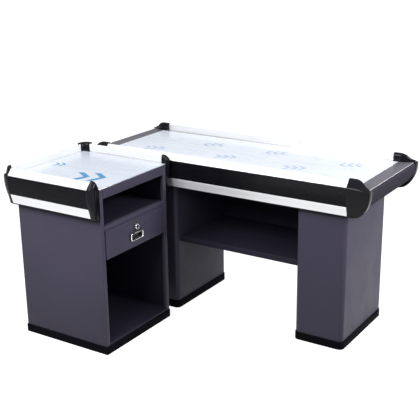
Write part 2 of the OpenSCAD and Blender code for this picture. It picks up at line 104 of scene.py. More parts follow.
def corner_arc(before, at, after, radius, steps):
    """Points that round one corner of a line."""
    p, a, b = Vector(at), Vector(before), Vector(after)
    to_a, to_b = a - p, b - p
    if radius <= 0 or to_a.length < 1e-9 or to_b.length < 1e-9:
        return [tuple(p)]
    angle = to_a.angle(to_b)
    if angle > math.pi - 0.03 or angle < 0.03:
        return [tuple(p)]
    reach = min(radius / math.tan(angle / 2), to_a.length * 0.49, to_b.length * 0.49)
    true_radius = reach * math.tan(angle / 2)
    middle = p + (to_a.normalized() + to_b.normalized()).normalized() * true_radius / math.sin(angle / 2)
    first = p + to_a.normalized() * reach - middle
    last = p + to_b.normalized() * reach - middle
    turn = math.atan2(first.x * last.y - first.y * last.x, first.dot(last))
    points = []
    for i in range(steps + 1):
        points.append(tuple(middle + Matrix.Rotation(turn * i / steps, 2) @ first))
    return points


def rounded(loop, radius, steps=4):
    """Closed outline with its corners rounded, by one radius or one for each corner."""
    radii = radius if isinstance(radius, (list, tuple)) else [radius] * len(loop)
    out = []
    for i, p in enumerate(loop):
        out += corner_arc(loop[i - 1], p, loop[(i + 1) % len(loop)], radii[i], steps)
    return out


def rectangle(x0, y0, x1, y1, radius=0.0, steps=6):
    """Counter-clockwise rectangle with rounded corners."""
    return rounded([(x0, y0), (x1, y0), (x1, y1), (x0, y1)], radius, steps)


def circle(x, y, r, steps=48):
    """Counter-clockwise circle."""
    return arc(x, y, r, r, 0, 360, steps)[:-1]


def folded(points, thickness=SHEET, bend=BEND, steps=5):
    """Closed outline of a sheet that follows an open line and is bent at its corners."""
    line = [points[0]]
    for i in range(1, len(points) - 1):
        line += corner_arc(points[i - 1], points[i], points[i + 1], bend, steps)
    line.append(points[-1])
    line = [Vector(p) for p in line]
    left, right = [], []
    for i, p in enumerate(line):
        ahead = line[min(i + 1, len(line) - 1)] - line[max(i - 1, 0)]
        side = Vector((-ahead.y, ahead.x)).normalized() * thickness / 2
        left.append(tuple(p + side))
        right.append(tuple(p - side))
    return left + right[::-1]


def inset(loop, distance):
    """Counter-clockwise outline moved inwards; a clockwise one, a hole, grows."""
    moved = []
    count = len(loop)
    for i in range(count):
        p = Vector(loop[i])
        back, ahead = p - Vector(loop[i - 1]), Vector(loop[(i + 1) % count]) - p
        if back.length < 1e-9 or ahead.length < 1e-9:
            longer = back if back.length > ahead.length else ahead
            normal = Vector((-longer.y, longer.x)).normalized()
            stretch = 1
        else:
            back.normalize()
            ahead.normalize()
            normal = Vector((-back.y - ahead.y, back.x + ahead.x))
            if normal.length < 1e-6:
                normal = Vector((-back.y, back.x))
            normal.normalize()
            stretch = min(1 / max(normal.dot(Vector((-back.y, back.x))), 0.5), 2)
        moved.append(tuple(p + normal * distance * stretch))
    return moved


# Solids ----------------------------------------------------------------------

PLACE = {
    "X": lambda p, q, s: (s, p, q),
    "Y": lambda p, q, s: (p, s, q),
    "Z": lambda p, q, s: (p, q, s),
}
TURN = {                  # turns +Z to an axis
    "X": Matrix.Rotation(math.pi / 2, 3, "Y"),
    "Y": Matrix.Rotation(-math.pi / 2, 3, "X"),
    "Z": Matrix.Identity(3),
}


def joined(*solids):
    """Several (points, faces) solids as one."""
    points, faces = [], []
    for some_points, some_faces in solids:
        start = len(points)
        points += some_points
        faces += [tuple(start + i for i in face) for face in some_faces]
    return points, faces


def loft(rings, ends=True, closed=False):
    """Skin over rings of 3-D points, each ring a closed loop."""
    size = len(rings[0])
    points = [tuple(p) for ring in rings for p in ring]
    faces = []
    spans = len(rings) if closed else len(rings) - 1
    for r in range(spans):
        a, b = r * size, (r + 1) % len(rings) * size
        faces += [(a + i, a + (i + 1) % size, b + (i + 1) % size, b + i) for i in range(size)]
    if ends and not closed:
        faces.append(tuple(range(size))[::-1])
        faces.append(tuple((len(rings) - 1) * size + i for i in range(size)))
    return points, faces


def slab(loops, axis, start, end, edge=EDGE, rounds=2):
    """Outline pushed along an axis, its end edges rounded. Loops after the first are holes."""
    if not isinstance(loops[0][0], (list, tuple)):
        loops = [loops]
    loops = [loop if area(loop) > 0 else loop[::-1] for loop in loops]
    loops = [loops[0]] + [loop[::-1] for loop in loops[1:]]
    place = PLACE[axis]
    stations = []
    for k in range(rounds + 1):
        angle = math.pi / 2 * k / rounds
        stations.append((start + edge * (1 - math.cos(angle)), edge * (1 - math.sin(angle))))
    stations += [(start + end - s, d) for s, d in stations[::-1]]
    if edge <= 0:
        stations = [(start, 0), (end, 0)]
    solids = []
    for loop in loops:
        rings = [[place(*p, s) for p in inset(loop, d)] for s, d in stations]
        solids.append(loft(rings, ends=len(loops) == 1))
    if len(loops) == 1:
        return solids[0]
    for s, d in (stations[0], stations[-1]):
        flat = [[place(*p, s) for p in inset(loop, d)] for loop in loops]
        triangles = tessellate_polygon([[Vector(p) for p in loop] for loop in flat])
        solids.append(([p for loop in flat for p in loop], [tuple(t) for t in triangles]))
    return joined(*solids)


def box(lo, hi, edge=EDGE):
    """Block between two corners with rounded edges all round."""
    corner = min(edge, (hi[0] - lo[0]) * 0.45, (hi[1] - lo[1]) * 0.45)
    plan = rectangle(lo[0], lo[1], hi[0], hi[1], corner, 2)
    return slab(plan, "Z", lo[2], hi[2], min(edge, (hi[2] - lo[2]) * 0.45))


def turned(profile, centre, axis="X", steps=48, closed=False):
    """Profile of (distance from the axis, place along the axis) turned about an axis."""
    angles = [2 * math.pi * i / steps for i in range(steps)]
    rings = []
    for distance, along in profile:
        ring = [Vector((distance * math.cos(a), distance * math.sin(a), along)) for a in angles]
        rings.append([tuple(TURN[axis] @ p + Vector(centre)) for p in ring])
    return loft(rings, closed=closed)


def tube(line, radius, flat, steps=16, closed=True):
    """Round wire along a line that lies in the plane with the normal flat."""
    rings = []
    count = len(line)
    for i, p in enumerate(line):
        ahead = Vector(line[(i + 1) % count]) - Vector(line[i - 1])
        side = Vector(flat).cross(ahead).normalized()
        ring = []
        for k in range(steps):
            angle = 2 * math.pi * k / steps
            ring.append(tuple(Vector(p) + radius * (math.cos(angle) * side + math.sin(angle) * Vector(flat))))
        rings.append(ring)
    return loft(rings, closed=closed)


def mirrored_y(solid, plane):
    """Solid mirrored in the plane y = plane."""
    points, faces = solid
    return [(x, 2 * plane - y, z) for x, y, z in points], [f[::-1] for f in faces]


def mirrored_x(solid, plane):
    """Solid mirrored in the plane x = plane."""
    points, faces = solid
    return [(2 * plane - x, y, z) for x, y, z in points], [f[::-1] for f in faces]


def both(near):
    """Solid at the near side of the side cabinet and its mirror image at the far side."""
    return joined(near, mirrored_y(near, MID_Y))


def sheet(line, axis, start, end, edge=0.2 * MM):
    """Folded body sheet with a line as its section, run along an axis."""
    return slab(folded(line), axis, start, end, edge)


def piece(name, solid, material, replaces=(), body="root", crease=35):
    """Mesh object that rides on a CAD body and stands for CAD nodes."""
    mesh = bpy.data.meshes.new(name)
    mesh.from_pydata(solid[0], [], solid[1])
    work = bmesh.new()
    work.from_mesh(mesh)
    bmesh.ops.remove_doubles(work, verts=work.verts, dist=1e-6)
    bmesh.ops.dissolve_degenerate(work, edges=work.edges, dist=1e-7)
    bmesh.ops.recalc_face_normals(work, faces=work.faces)
    work.to_mesh(mesh)
    work.free()
    mesh.polygons.foreach_set("use_smooth", [True] * len(mesh.polygons))
    mesh.set_sharp_from_angle(angle=math.radians(crease))
    mesh.materials.append(material)
    obj = bpy.data.objects.new(name, mesh)
    bpy.context.scene.collection.objects.link(obj)
    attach(obj, body)
    if replaces:
        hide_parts(*replaces)
    return obj


# Materials -------------------------------------------------------------------

def add_node(tree, kind, inputs=None, **settings):
    """New shader node with its settings and its inputs, values or linked sockets."""
    made = tree.nodes.new(kind)
    for key, value in settings.items():
        setattr(made, key, value)
    for key, value in (inputs or {}).items():
        if isinstance(value, bpy.types.NodeSocket):
            tree.links.new(value, made.inputs[key])
        else:
            made.inputs[key].default_value = value
    return made


def noise(tree, place, scale, detail=3.0, rough=0.5):
    """Noise factor at a place in the material."""
    inputs = {"Vector": place, "Scale": scale, "Detail": detail, "Roughness": rough}
    return add_node(tree, "ShaderNodeTexNoise", inputs).outputs["Fac"]


def remap(tree, value, lo_in, hi_in, lo_out, hi_out):
    """Value mapped from one range to another, with its ends held."""
    inputs = {"Value": value, "From Min": lo_in, "From Max": hi_in, "To Min": lo_out, "To Max": hi_out}
    return add_node(tree, "ShaderNodeMapRange", inputs).outputs["Result"]


def mixed(tree, factor, a, b):
    """Colour between a and b."""
    made = add_node(tree, "ShaderNodeMix", data_type="RGBA")
    for index, value in ((0, factor), (6, a), (7, b)):
        if isinstance(value, bpy.types.NodeSocket):
            tree.links.new(value, made.inputs[index])
        else:
            made.inputs[index].default_value = value
    return made.outputs[2]


def shade(colour, factor):
    """Colour made lighter or darker, with alpha."""
    return tuple(min(c * factor, 1.0) for c in colour) + (1.0,)


def edge_mask(tree, radius, lo_in=0.02, hi_in=0.2):
    """1 on convex and concave edges, 0 on flat faces."""
    bevel = add_node(tree, "ShaderNodeBevel", {"Radius": radius}, samples=4)
    geometry = add_node(tree, "ShaderNodeNewGeometry")
    dot = add_node(tree, "ShaderNodeVectorMath",
                   {0: bevel.outputs["Normal"], 1: geometry.outputs["Normal"]}, operation="DOT_PRODUCT")
    return remap(tree, dot.outputs["Value"], 1 - lo_in, 1 - hi_in, 0, 1)


def material(name, colour, rough, metal=0.0, spread=0.05, patch=6.0, rough_spread=0.06,
             grain=900.0, grain_depth=0.02, stretch=(1, 1, 1), wear_and_glint=0.0, wear_and_glint_colour=None,
             specular=0.5, coat=0.0, coat_rough=0.1, anisotropic=0.0):
    """Base finish: patchy colour, uneven gloss, fine grain in the surface, and lighter edges: rubbed paint
    and metal on most finishes, painted highlights on the black bumpers and caps.
    """
    mat = bpy.data.materials.new(name)
    mat.use_nodes = True
    tree = mat.node_tree
    shader = tree.nodes["Principled BSDF"]
    shader.inputs["Metallic"].default_value = metal
    shader.inputs["Specular IOR Level"].default_value = specular
    shader.inputs["Coat Weight"].default_value = coat
    shader.inputs["Coat Roughness"].default_value = coat_rough
    shader.inputs["Anisotropic"].default_value = anisotropic
    place = add_node(tree, "ShaderNodeTexCoord").outputs["Object"]
    lines = add_node(tree, "ShaderNodeVectorMath", {0: place, 1: stretch}, operation="MULTIPLY")
    lines = lines.outputs["Vector"]
    patches = noise(tree, place, patch, 4.0, 0.6)
    patches = remap(tree, patches, 0.3, 0.7, 0, 1)
    tint = mixed(tree, patches, shade(colour, 1 - spread), shade(colour, 1 + spread))
    fine = noise(tree, lines, grain, 2.0, 0.55)
    # Lighter colour on edges, broken up by noise: rubbing on the paints and metals, a painted highlight on
    # the ribs and crests of the black bumpers and caps.
    if wear_and_glint > 0:
        scuffs_and_glints = noise(tree, place, 70.0, 5.0, 0.7)
        scuffs_and_glints = remap(tree, scuffs_and_glints, 0.45, 0.62, 0, wear_and_glint)
        worn_and_glint = add_node(tree, "ShaderNodeMath", {0: edge_mask(tree, 1.2 * MM), 1: scuffs_and_glints},
                        operation="MULTIPLY").outputs["Value"]
        tint = mixed(tree, worn_and_glint, tint, shade(wear_and_glint_colour or colour, 1.0))
    tree.links.new(tint, shader.inputs["Base Color"])
    gloss = noise(tree, lines, patch * 3.1, 5.0, 0.65)
    gloss = remap(tree, gloss, 0.3, 0.7, rough - rough_spread, rough + rough_spread)
    tree.links.new(gloss, shader.inputs["Roughness"])
    bump = add_node(tree, "ShaderNodeBump", {"Strength": 1.0, "Distance": grain_depth * MM, "Height": fine})
    tree.links.new(bump.outputs["Normal"], shader.inputs["Normal"])
    return mat, tree, shader, place, bump


def wide_relief(tree, shader, bump, height, strength, depth):
    """Wide, soft relief over the fine grain of a finish."""
    inputs = {"Strength": strength, "Distance": depth, "Height": height, "Normal": bump.outputs["Normal"]}
    soft = add_node(tree, "ShaderNodeBump", inputs)
    tree.links.new(soft.outputs["Normal"], shader.inputs["Normal"])


ALONG_X = (0.02, 1.0, 1.0)     # stretch of a grain that runs along X
ALONG_Y = (1.0, 0.02, 1.0)


def body_paint():
    """Dark grey-violet powder coat with its fine orange peel."""
    mat, tree, shader, place, bump = material(
        "body_paint", (0.060, 0.054, 0.084), 0.42, spread=0.05, patch=3.0, grain=620.0, grain_depth=0.05,
        wear_and_glint=0.3, wear_and_glint_colour=(0.14, 0.135, 0.16), specular=0.09)
    wide_relief(tree, shader, bump, noise(tree, place, 9.0, 1.0, 0.4), 0.35, 0.4 * MM)
    return mat


def painted_shade_coat():
    """The body coat made darker for the insides of the cabinets and the knee space: painted shade."""
    return material("painted_shade_coat", (0.022, 0.020, 0.034), 0.5, spread=0.08, patch=5.0, grain=620.0,
                    grain_depth=0.05, wear_and_glint=0.2, wear_and_glint_colour=(0.07, 0.07, 0.08), specular=0.08)[0]


def plinth_black():
    """Matt black base trim, scuffed here and there."""
    return material("plinth_black", (0.004, 0.004, 0.006), 0.62, spread=0.2, patch=14.0, grain=1500.0,
                    grain_depth=0.03, wear_and_glint=0.4, wear_and_glint_colour=(0.016, 0.016, 0.018), specular=0.02)[0]


def edge_aluminium(name, along):
    """Pale satin anodised extrusion with drawing lines along its length."""
    return material(name, (0.83, 0.835, 0.855), 0.33, metal=0.4, spread=0.02, patch=5.0, grain=900.0,
                    grain_depth=0.012, stretch=along, wear_and_glint=0.15, wear_and_glint_colour=(0.8, 0.8, 0.82),
                    anisotropic=0.3)[0]


def bumper_pvc(name, along):
    """Glossy black ribbed PVC with faint flow lines; the lighter edges of its ribs are painted highlights."""
    return material(name, (0.005, 0.005, 0.007), 0.2, spread=0.25, patch=9.0, rough_spread=0.06,
                    grain=500.0, grain_depth=0.02, stretch=along, wear_and_glint=0.25, wear_and_glint_colour=(0.06, 0.06, 0.07),
                    specular=0.085)[0]


def cap_moulding():
    """Black injection moulding, satin gloss, with a faint mould texture; its lighter edges and ribs are
    painted highlights.
    """
    return material("cap_moulding", (0.006, 0.006, 0.009), 0.18, spread=0.15, patch=20.0, grain=1800.0,
                    grain_depth=0.008, wear_and_glint=0.35, wear_and_glint_colour=(0.06, 0.06, 0.07), specular=0.13)[0]


def end_profile(name, along):
    """Dark grey satin end profile with fine lengthwise lines."""
    return material(name, (0.036, 0.033, 0.046), 0.7, spread=0.07, patch=7.0, grain=800.0,
                    grain_depth=0.03, stretch=along, wear_and_glint=0.3, wear_and_glint_colour=(0.08, 0.08, 0.09),
                    specular=0.02)[0]


def stainless():
    """Brushed stainless steel."""
    return material("stainless", (0.62, 0.63, 0.65), 0.3, metal=1.0, spread=0.04, patch=4.0, grain=600.0,
                    grain_depth=0.01, stretch=(0.02, 1, 1), anisotropic=0.5)[0]


def end_top_sheen():
    """Lighter grey copy of the end profile's finish for its flat tops: painted sheen where the tops face the
    light.
    """
    return material("end_top_sheen", (0.105, 0.10, 0.122), 0.36, spread=0.08, patch=8.0, grain=800.0,
                    grain_depth=0.03, stretch=ALONG_Y, wear_and_glint=0.3, wear_and_glint_colour=(0.18, 0.18, 0.19),
                    specular=0.3)[0]


def film(name, colour):
    """Pale bluish protective film on the steel: clingy patches, wrinkles and trapped air."""
    mat, tree, shader, place, bump = material(
        name, colour, 0.3, spread=0.025, patch=5.0, rough_spread=0.07, grain=350.0,
        grain_depth=0.02, stretch=(0.15, 1, 1), specular=0.5, coat=0.35, coat_rough=0.12)
    warp = noise(tree, place, 3.0, 3.0, 0.6)
    bent = add_node(tree, "ShaderNodeVectorMath", {0: place, 1: warp}, operation="ADD").outputs["Vector"]
    inputs = {"Vector": bent, "Scale": 9.0, "Distortion": 5.0, "Detail": 3.0, "Detail Scale": 1.5}
    ripple = add_node(tree, "ShaderNodeTexWave", inputs, bands_direction="DIAGONAL").outputs["Fac"]
    ridges = add_node(tree, "ShaderNodeMath", {0: ripple, 1: 6.0}, operation="POWER").outputs["Value"]
    wide_relief(tree, shader, bump, ridges, 0.15, 0.25 * MM)
    return mat


def film_print(name, colour):
    """Thin pale ink printed on the film."""
    return material(name, colour, 0.4, spread=0.12, patch=60.0, grain=900.0, grain_depth=0.01)[0]


def board():
    """Raw medium-density fibreboard."""
    return material("fibreboard", (0.42, 0.30, 0.18), 0.75, spread=0.1, patch=25.0, grain=1200.0,
                    grain_depth=0.08, stretch=(1, 1, 6), specular=0.3)[0]


def zinc():
    """Zinc plate with its blotchy bluish grey."""
    return material("zinc_plate", (0.46, 0.48, 0.51), 0.34, metal=1.0, spread=0.12, patch=35.0,
                    rough_spread=0.12, grain=900.0, grain_depth=0.015, wear_and_glint=0.3,
                    wear_and_glint_colour=(0.7, 0.7, 0.72))[0]


def chrome():
    """Polished chrome plate with faint polishing haze."""
    return material("bright_chrome", (0.86, 0.87, 0.89), 0.09, metal=1.0, spread=0.02, patch=30.0,
                    rough_spread=0.035, grain=1500.0, grain_depth=0.003)[0]


def handle_black():
    """Dark satin moulding of the handle plate."""
    return material("handle_black", (0.030, 0.029, 0.035), 0.33, spread=0.12, patch=40.0, grain=2200.0,
                    grain_depth=0.02, wear_and_glint=0.4, wear_and_glint_colour=(0.09, 0.09, 0.1))[0]


def lock_black():
    """Dark face of the lock plug."""
    return material("lock_black", (0.020, 0.020, 0.023), 0.3, metal=0.3, spread=0.15, patch=60.0,
                    grain=2500.0,
                    grain_depth=0.01, wear_and_glint=0.6, wear_and_glint_colour=(0.3, 0.3, 0.3))[0]


PAINT = body_paint()
# Darker copy of the body coat for the insides and the knee space: painted shade.
SHADED_PAINT = painted_shade_coat()
BLACK = plinth_black()
RAIL_X = edge_aluminium("edge_aluminium_x", ALONG_X)
RAIL_Y = edge_aluminium("edge_aluminium_y", ALONG_Y)
PVC_X = bumper_pvc("bumper_pvc_x", ALONG_X)
PVC_Y = bumper_pvc("bumper_pvc_y", ALONG_Y)
CAP = cap_moulding()
PROFILE = end_profile("end_profile", ALONG_Y)
# Lighter grey copy of the profile's finish for its flat tops: painted sheen.
TOP_SHEEN = end_top_sheen()
STEEL = stainless()
FILM = film("protective_film", (0.66, 0.71, 0.79))
SIDE_FILM = film("protective_film_grey", (0.50, 0.545, 0.62))
PRINT_BLUE = film_print("print_blue", (0.05, 0.20, 0.38))
PRINT_PALE = film_print("print_pale", (0.36, 0.43, 0.60))
BOARD = board()
ZINC = zinc()
CHROME = chrome()
HANDLE = handle_black()
LOCK = lock_black()


# Sections of the worktop edges: (outwards from the body face, up from the worktop) ----

RIM_IN = 22.0             # inner wall of the rim
RIM_H = 36.0              # rise of the rim
BUMPER_OUT = 54.0         # projection of the bumper
BUMPER_TOP = 4.0
BUMPER_LOW = -86.0
SKIRT_LOW = -131.0        # lower end of the skirt, without its lip
BOARD_LOW = -19.5         # underside of the board
FAR_OUT = 46.0            # projection of the low rim that faces the main counter
CAP_OUT = 56.0            # projection of the caps
CAP_LEN = 27.0            # length of the side cabinet's end caps
CAP_RISE = 42.0           # rise of the caps' ears
END_IN = 44.0             # inner edge of the end rails


def bumper_face(v):
    """Projection of the bumper's face at a level: upright, then curving in below."""
    drop = max(0.0, -v - 20.0) / 66.0
    return BUMPER_OUT - 10.0 * drop ** 1.8


RIB = ((0.0, 0.35), (0.04, 1.0), (0.2, 1.0), (0.26, 0.35), (0.4, 0.08), (0.62, 0.0), (0.86, 0.08))


def ribbed(top, bottom, pitch, depth):
    """Face of the bumper from its top to its bottom, with a groove between its ribs.

    RIB holds one rib: the share of the pitch, and the share of the groove's depth.
    """
    points = []
    for k in range(round((top - bottom) / pitch)):
        for share, sunk in RIB:
            v = top - pitch * (k + share)
            points.append((bumper_face(v) - sunk * depth, v))
    points.append((bumper_face(bottom) - 0.35 * depth, bottom))
    return points


def rail_section():
    """Edge rail: rim, sloping shoulder, bumper channel and skirt with a rolled lip."""
    web = BUMPER_OUT - 15
    return mm(
        [(RIM_IN, BOARD_LOW), (RIM_IN, 20.0)]
        + arc(RIM_IN + 4, RIM_H - 4.5, 4, 4.5, 180, 30, 10)
        + [(44.6, 16.2), (45.0, 15.2), (45.9, 14.4)]
        + arc(50.4, 7.0, 1.6, 1.6, 35, -60, 4)
        + [(BUMPER_OUT - 4, BUMPER_TOP), (web, BUMPER_TOP), (web, BUMPER_LOW), (web + 3.6, BUMPER_LOW)]
        + arc(web + 3.4, BUMPER_LOW - 1.4, 1.2, 1.2, 60, -20, 3)
        + [(37.6, -109.0), (32.4, SKIRT_LOW + 3.0)]
        + arc(30.6, SKIRT_LOW + 1.8, 1.8, 1.8, 10, -190, 8)
        + [(34.6, -109.0), (web - 3, BUMPER_LOW - 2), (web - 3, BOARD_LOW)]
    )


def low_rim_section():
    """Low rim that faces the main counter, with no bumper."""
    return mm(
        [(RIM_IN, BOARD_LOW), (RIM_IN, 20.0)]
        + arc(RIM_IN + 4, RIM_H - 4.5, 4, 4.5, 180, 30, 10)
        + arc(FAR_OUT - 2, 9.0, 2, 2, 35, 0, 4)
        + [(FAR_OUT, BOARD_LOW + 1), (FAR_OUT - 1, BOARD_LOW)]
    )


def bumper_section():
    """Bumper strip that snaps into the rail's channel."""
    web = BUMPER_OUT - 15
    return mm([(web, BUMPER_TOP - 0.4), (BUMPER_OUT - 3, BUMPER_TOP - 0.4),
               (BUMPER_OUT - 1, BUMPER_TOP - 1.4)]
              + ribbed(BUMPER_TOP - 3, BUMPER_LOW + 2, 8.5, 2.6)
              + [(bumper_face(BUMPER_LOW) - 2, BUMPER_LOW + 0.4), (web, BUMPER_LOW + 0.4)])


def skirt_shadow_section():
    """Black strip along the lower edge of the skirt: painted shadow, the thin dark line under the skirt."""
    low_v, high_v = SKIRT_LOW - 4.4, SKIRT_LOW + 1.6
    return mm(rounded([(28.4, low_v), (31.8, low_v), (33.2, high_v), (28.4, high_v)], 1.2, 3))


def eased(points, x):
    """Value at x on the straight lines between given (x, value) points."""
    if x <= points[0][0]:
        return points[0][1]
    for (xa, a), (xb, b) in zip(points, points[1:]):
        if x <= xb:
            return a + (b - a) * (x - xa) / (xb - xa)
    return points[-1][1]


# Ear of a cap above the worktop, point for point from its foot to its crest.
# EAR_ROUND is the outer face of the far end cap's ear.
EAR_OUTER = [(56, 0.8), (55, 4), (52.8, 8), (49.4, 12.5), (45.0, 17.5), (40.4, 22.5), (35.4, 28),
             (30.4, 33.4),
             (26.0, 38), (22.4, 40.8), (19.4, 41.8)]
EAR_ROUND = [(46, 0.8), (46, 6), (45.2, 13), (43.4, 19.5), (40.6, 25.5), (37.0, 30.6), (33.0, 34.6),
             (29.4, 37.4),
             (26.0, 39.6), (22.6, 41.2), (19.4, 41.8)]
EAR_INNER = [(14, -1.5), (4.6, -1.5), (4, -0.9), (4, 6), (4.2, 14), (4.8, 22), (6.2, 29), (8.6, 34.8),
             (11.4, 38.6),
             (14.2, 40.8), (16.8, 41.7)]


def cap_face(v):
    """Outer face of the cap below the worktop's level, with two faint grooves."""
    if v > BUMPER_LOW - 6:
        groove = max(0.0, 1 - min(abs(v + 33), abs(v + 66)) / 1.6)
        return bumper_face(v) + CAP_OUT - BUMPER_OUT - 0.9 * groove
    return eased([(-135, 31.5), (-131, 35.5), (-120, 36.8), (-103, 41.0), (-92, 44.6)], v)


def end_rail_section():
    """End rail: a D with a flat top, a seat for the pale bead that paints its highlight line, and two
    lengthwise steps.
    """
    return mm(
        [(END_IN, 0.0), (109.0, 0.0), (109.6, -0.6), (112.2, -0.8)]
        + arc(104, -15, 19, 14.4, 62, 50, 3)
        + [(116.8, -4.8), (117.6, -5.2)]
        + arc(104, -15, 19, 14.4, 38, 2, 5)
        + arc(35, -15, 88, 100, -2, -26, 10)
        + arc(35, -15, 87.2, 99.2, -26.5, -79, 18)
        + [(END_IN, -113.0)]
    )


# Runs of a section along the worktop edges ------------------------------------

def run_x(section, x0, x1, face, side):
    """Section run along X outside the face y = face; side is -1 or +1."""
    loop = [(face + side * u, TOP + v) for u, v in section]
    return slab(loop, "X", x0, x1, 0.3 * MM, 1)


def run_y(section, y0, y1, face, side):
    """Section run along Y outside the face x = face; side is -1 or +1."""
    loop = [(face + side * u, TOP + v) for u, v in section]
    return slab(loop, "Y", y0, y1, 0.3 * MM, 1)


def corner_sweep(section, corner, first, second, stub, narrow=math.inf):
    """Section swept round a body corner, with a straight stub at each side.

    first and second are the outward directions of the two faces. On its way to the
    second face the section eases in to the projection narrow, if that is less.
    """
    if area(section) < 0:
        section = section[::-1]
    corner = Vector((*corner, TOP))
    a, b = Vector((*first, 0)), Vector((*second, 0))
    edge = 1.0 * MM
    ends = []
    for k in range(3):
        angle = math.pi / 4 * k
        ends.append((stub - edge * (1 - math.cos(angle)), edge * (1 - math.sin(angle))))
    stations = [(corner - b * back, a, sunk, 0.0) for back, sunk in ends]
    for k in range(13):
        angle = math.pi / 2 * k / 12
        stations.append((corner, a * math.cos(angle) + b * math.sin(angle), 0.0, k / 12))
    stations += [(corner - a * back, b, sunk, 1.0) for back, sunk in ends[::-1]]
    rings = []
    for origin, outward, sunk, share in stations:
        loop = inset([(u + (min(u, narrow) - u) * share, v) for u, v in section], sunk)
        rings.append([tuple(origin + outward * u + Vector((0, 0, v))) for u, v in loop])
    return loft(rings)


def edge_run(name, run, start, end, face, side, rail, pvc):
    """Edge rail, bumper strip, and a black strip under the skirt that paints its shadow line, along one face.
    """
    place = (start, end, face, side)
    piece(f"{name}_edge_rail", run(rail_section(), *place), rail, [f"{name}_rail"])
    piece(f"{name}_bumper_strip", run(bumper_section(), *place), pvc, [f"{name}_bumper"])
    # Black strip under the skirt's lower edge: painted shadow.
    piece(f"{name}_skirt_shadow_strip", run(skirt_shadow_section(), *place), pvc)


PLINTH = ((0, 1.2), (1.2, 0), (8, 0), (8.4, 0.5), (9.2, 0.5), (9.6, 0), (35.5, 0), (38.2, 0.9),
          (39.6, 2.6), (40, 4.0))


def plinth(node_name, radius, steps, follow):
    """Black base ring with a rounded upper edge and a fine groove.

    PLINTH holds its face in millimetres: height, and distance in from the outline.
    The corners' radius falls by the share follow of that distance.
    """
    lo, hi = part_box(node_name)
    rings = []
    for z, d in PLINTH:
        d *= MM
        loop = rectangle(lo.x + d, lo.y + d, hi.x - d, hi.y - d, radius - d * follow, steps)
        rings.append([(x, y, z * MM) for x, y in loop])
    piece(f"{node_name}_trim", loft(rings), BLACK, [node_name])


# Side cabinet -----------------------------------------------------------------

def side_shell(name, mirrored, nodes):
    """One side panel that folds round the face into its stile, with a rolled inner edge."""
    t = SHEET / 2
    x1, y0 = SIDE_X1 - t, SIDE_Y0 + t
    back, inner = SIDE_X1 - FACE_D, SIDE_Y0 + STILE_W - t
    line = [(SIDE_X0 + 2 * SHEET, y0), (x1, y0), (x1, inner), (back, inner), (back, inner - 6 * MM)]
    solid = sheet(line, "Z", BODY_Z0, BODY_Z1, EDGE)
    if mirrored:
        solid = mirrored_y(solid, MID_Y)
    piece(name, solid, PAINT, nodes)


def side_back():
    """Back panel with a folded edge at each side."""
    lo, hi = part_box("side_back_panel")
    x, fold = lo.x + SHEET / 2, SIDE_X0 + 16 * MM
    y0, y1 = SIDE_Y0 + 2.6 * SHEET, SIDE_Y1 - 2.6 * SHEET
    line = [(fold, y0), (x, y0), (x, y1), (fold, y1)]
    piece("side_back_sheet", sheet(line, "Z", lo.z, hi.z, EDGE), PAINT, ["side_back_panel"])


def side_face_members():
    """Fascia, middle rail, compartment shelf and floor of the side cabinet."""
    t = SHEET / 2
    stile_1, stile_2 = SIDE_Y0 + STILE_W, SIDE_Y1 - STILE_W
    front, back = SIDE_X1 - t, SIDE_X1 - FACE_D

    lo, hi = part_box("side_fascia")
    upper, lower = hi.z - t - 0.4 * MM, lo.z + t
    line = [(SIDE_X1 - 12 * MM, upper), (front, upper), (front, lower), (back, lower), (back, lo.z + 7 * MM)]
    band = rectangle(SIDE_Y0, high("side_near_stile").z, stile_1, hi.z, 0.3 * MM, 2)
    near = slab(band, "X", SIDE_X1 - SHEET, SIDE_X1, 0.3 * MM)
    solid = joined(sheet(line, "Y", stile_1, stile_2), both(near))
    piece("side_fascia_rail", solid, PAINT, ["side_fascia"])

    lo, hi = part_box("side_mid_rail")
    line = [(back, lo.z + t), (hi.x - t, lo.z + t), (hi.x - t, hi.z - t), (back - 6 * MM, hi.z - t)]
    piece("side_middle_rail", sheet(line, "Y", stile_1, stile_2), PAINT, ["side_mid_rail"])

    # The compartment shelf and the floor below take the darkened coat: painted shade.
    lo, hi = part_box("side_compartment_shelf")
    line = [(lo.x + t, hi.z + 14 * MM), (lo.x + t, hi.z - t), (back - 6.4 * MM, hi.z - t)]
    solid = sheet(line, "Y", lo.y, hi.y, EDGE)
    piece("side_shelf_sheet", solid, SHADED_PAINT, ["side_compartment_shelf"])

    lo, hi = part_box("side_floor_panel")
    upturn = [(lo.x + t, hi.z + 14 * MM), (lo.x + t, hi.z - t)]
    middle = sheet(upturn + [(front, hi.z - t), (front, lo.z)], "Y", stile_1, stile_2)
    near = sheet(upturn + [(back - t, hi.z - t)], "Y", SIDE_Y0 + SHEET, stile_1)
    piece("side_floor_sheet", joined(middle, both(near)), SHADED_PAINT, ["side_floor_panel"])


def side_shade_lining():
    """Thin sheets of the darkened coat on the inner faces of the side panels: painted shade."""
    x0, x1 = SIDE_X0 + 18 * MM, SIDE_X1 - FACE_D - 1 * MM
    y0 = SIDE_Y0 + SHEET
    spaces = ((high("side_floor_panel").z, low("side_compartment_shelf").z),
              (high("side_compartment_shelf").z, BODY_Z1))
    skins = []
    for z0, z1 in spaces:
        loop = rectangle(x0, z0 + 1 * MM, x1, z1 - 1 * MM, 2 * MM, 3)
        skins.append(slab(loop, "Y", y0, y0 + 0.7 * MM, 0.3 * MM))
    piece("side_shade_skins", both(joined(*skins)), SHADED_PAINT)


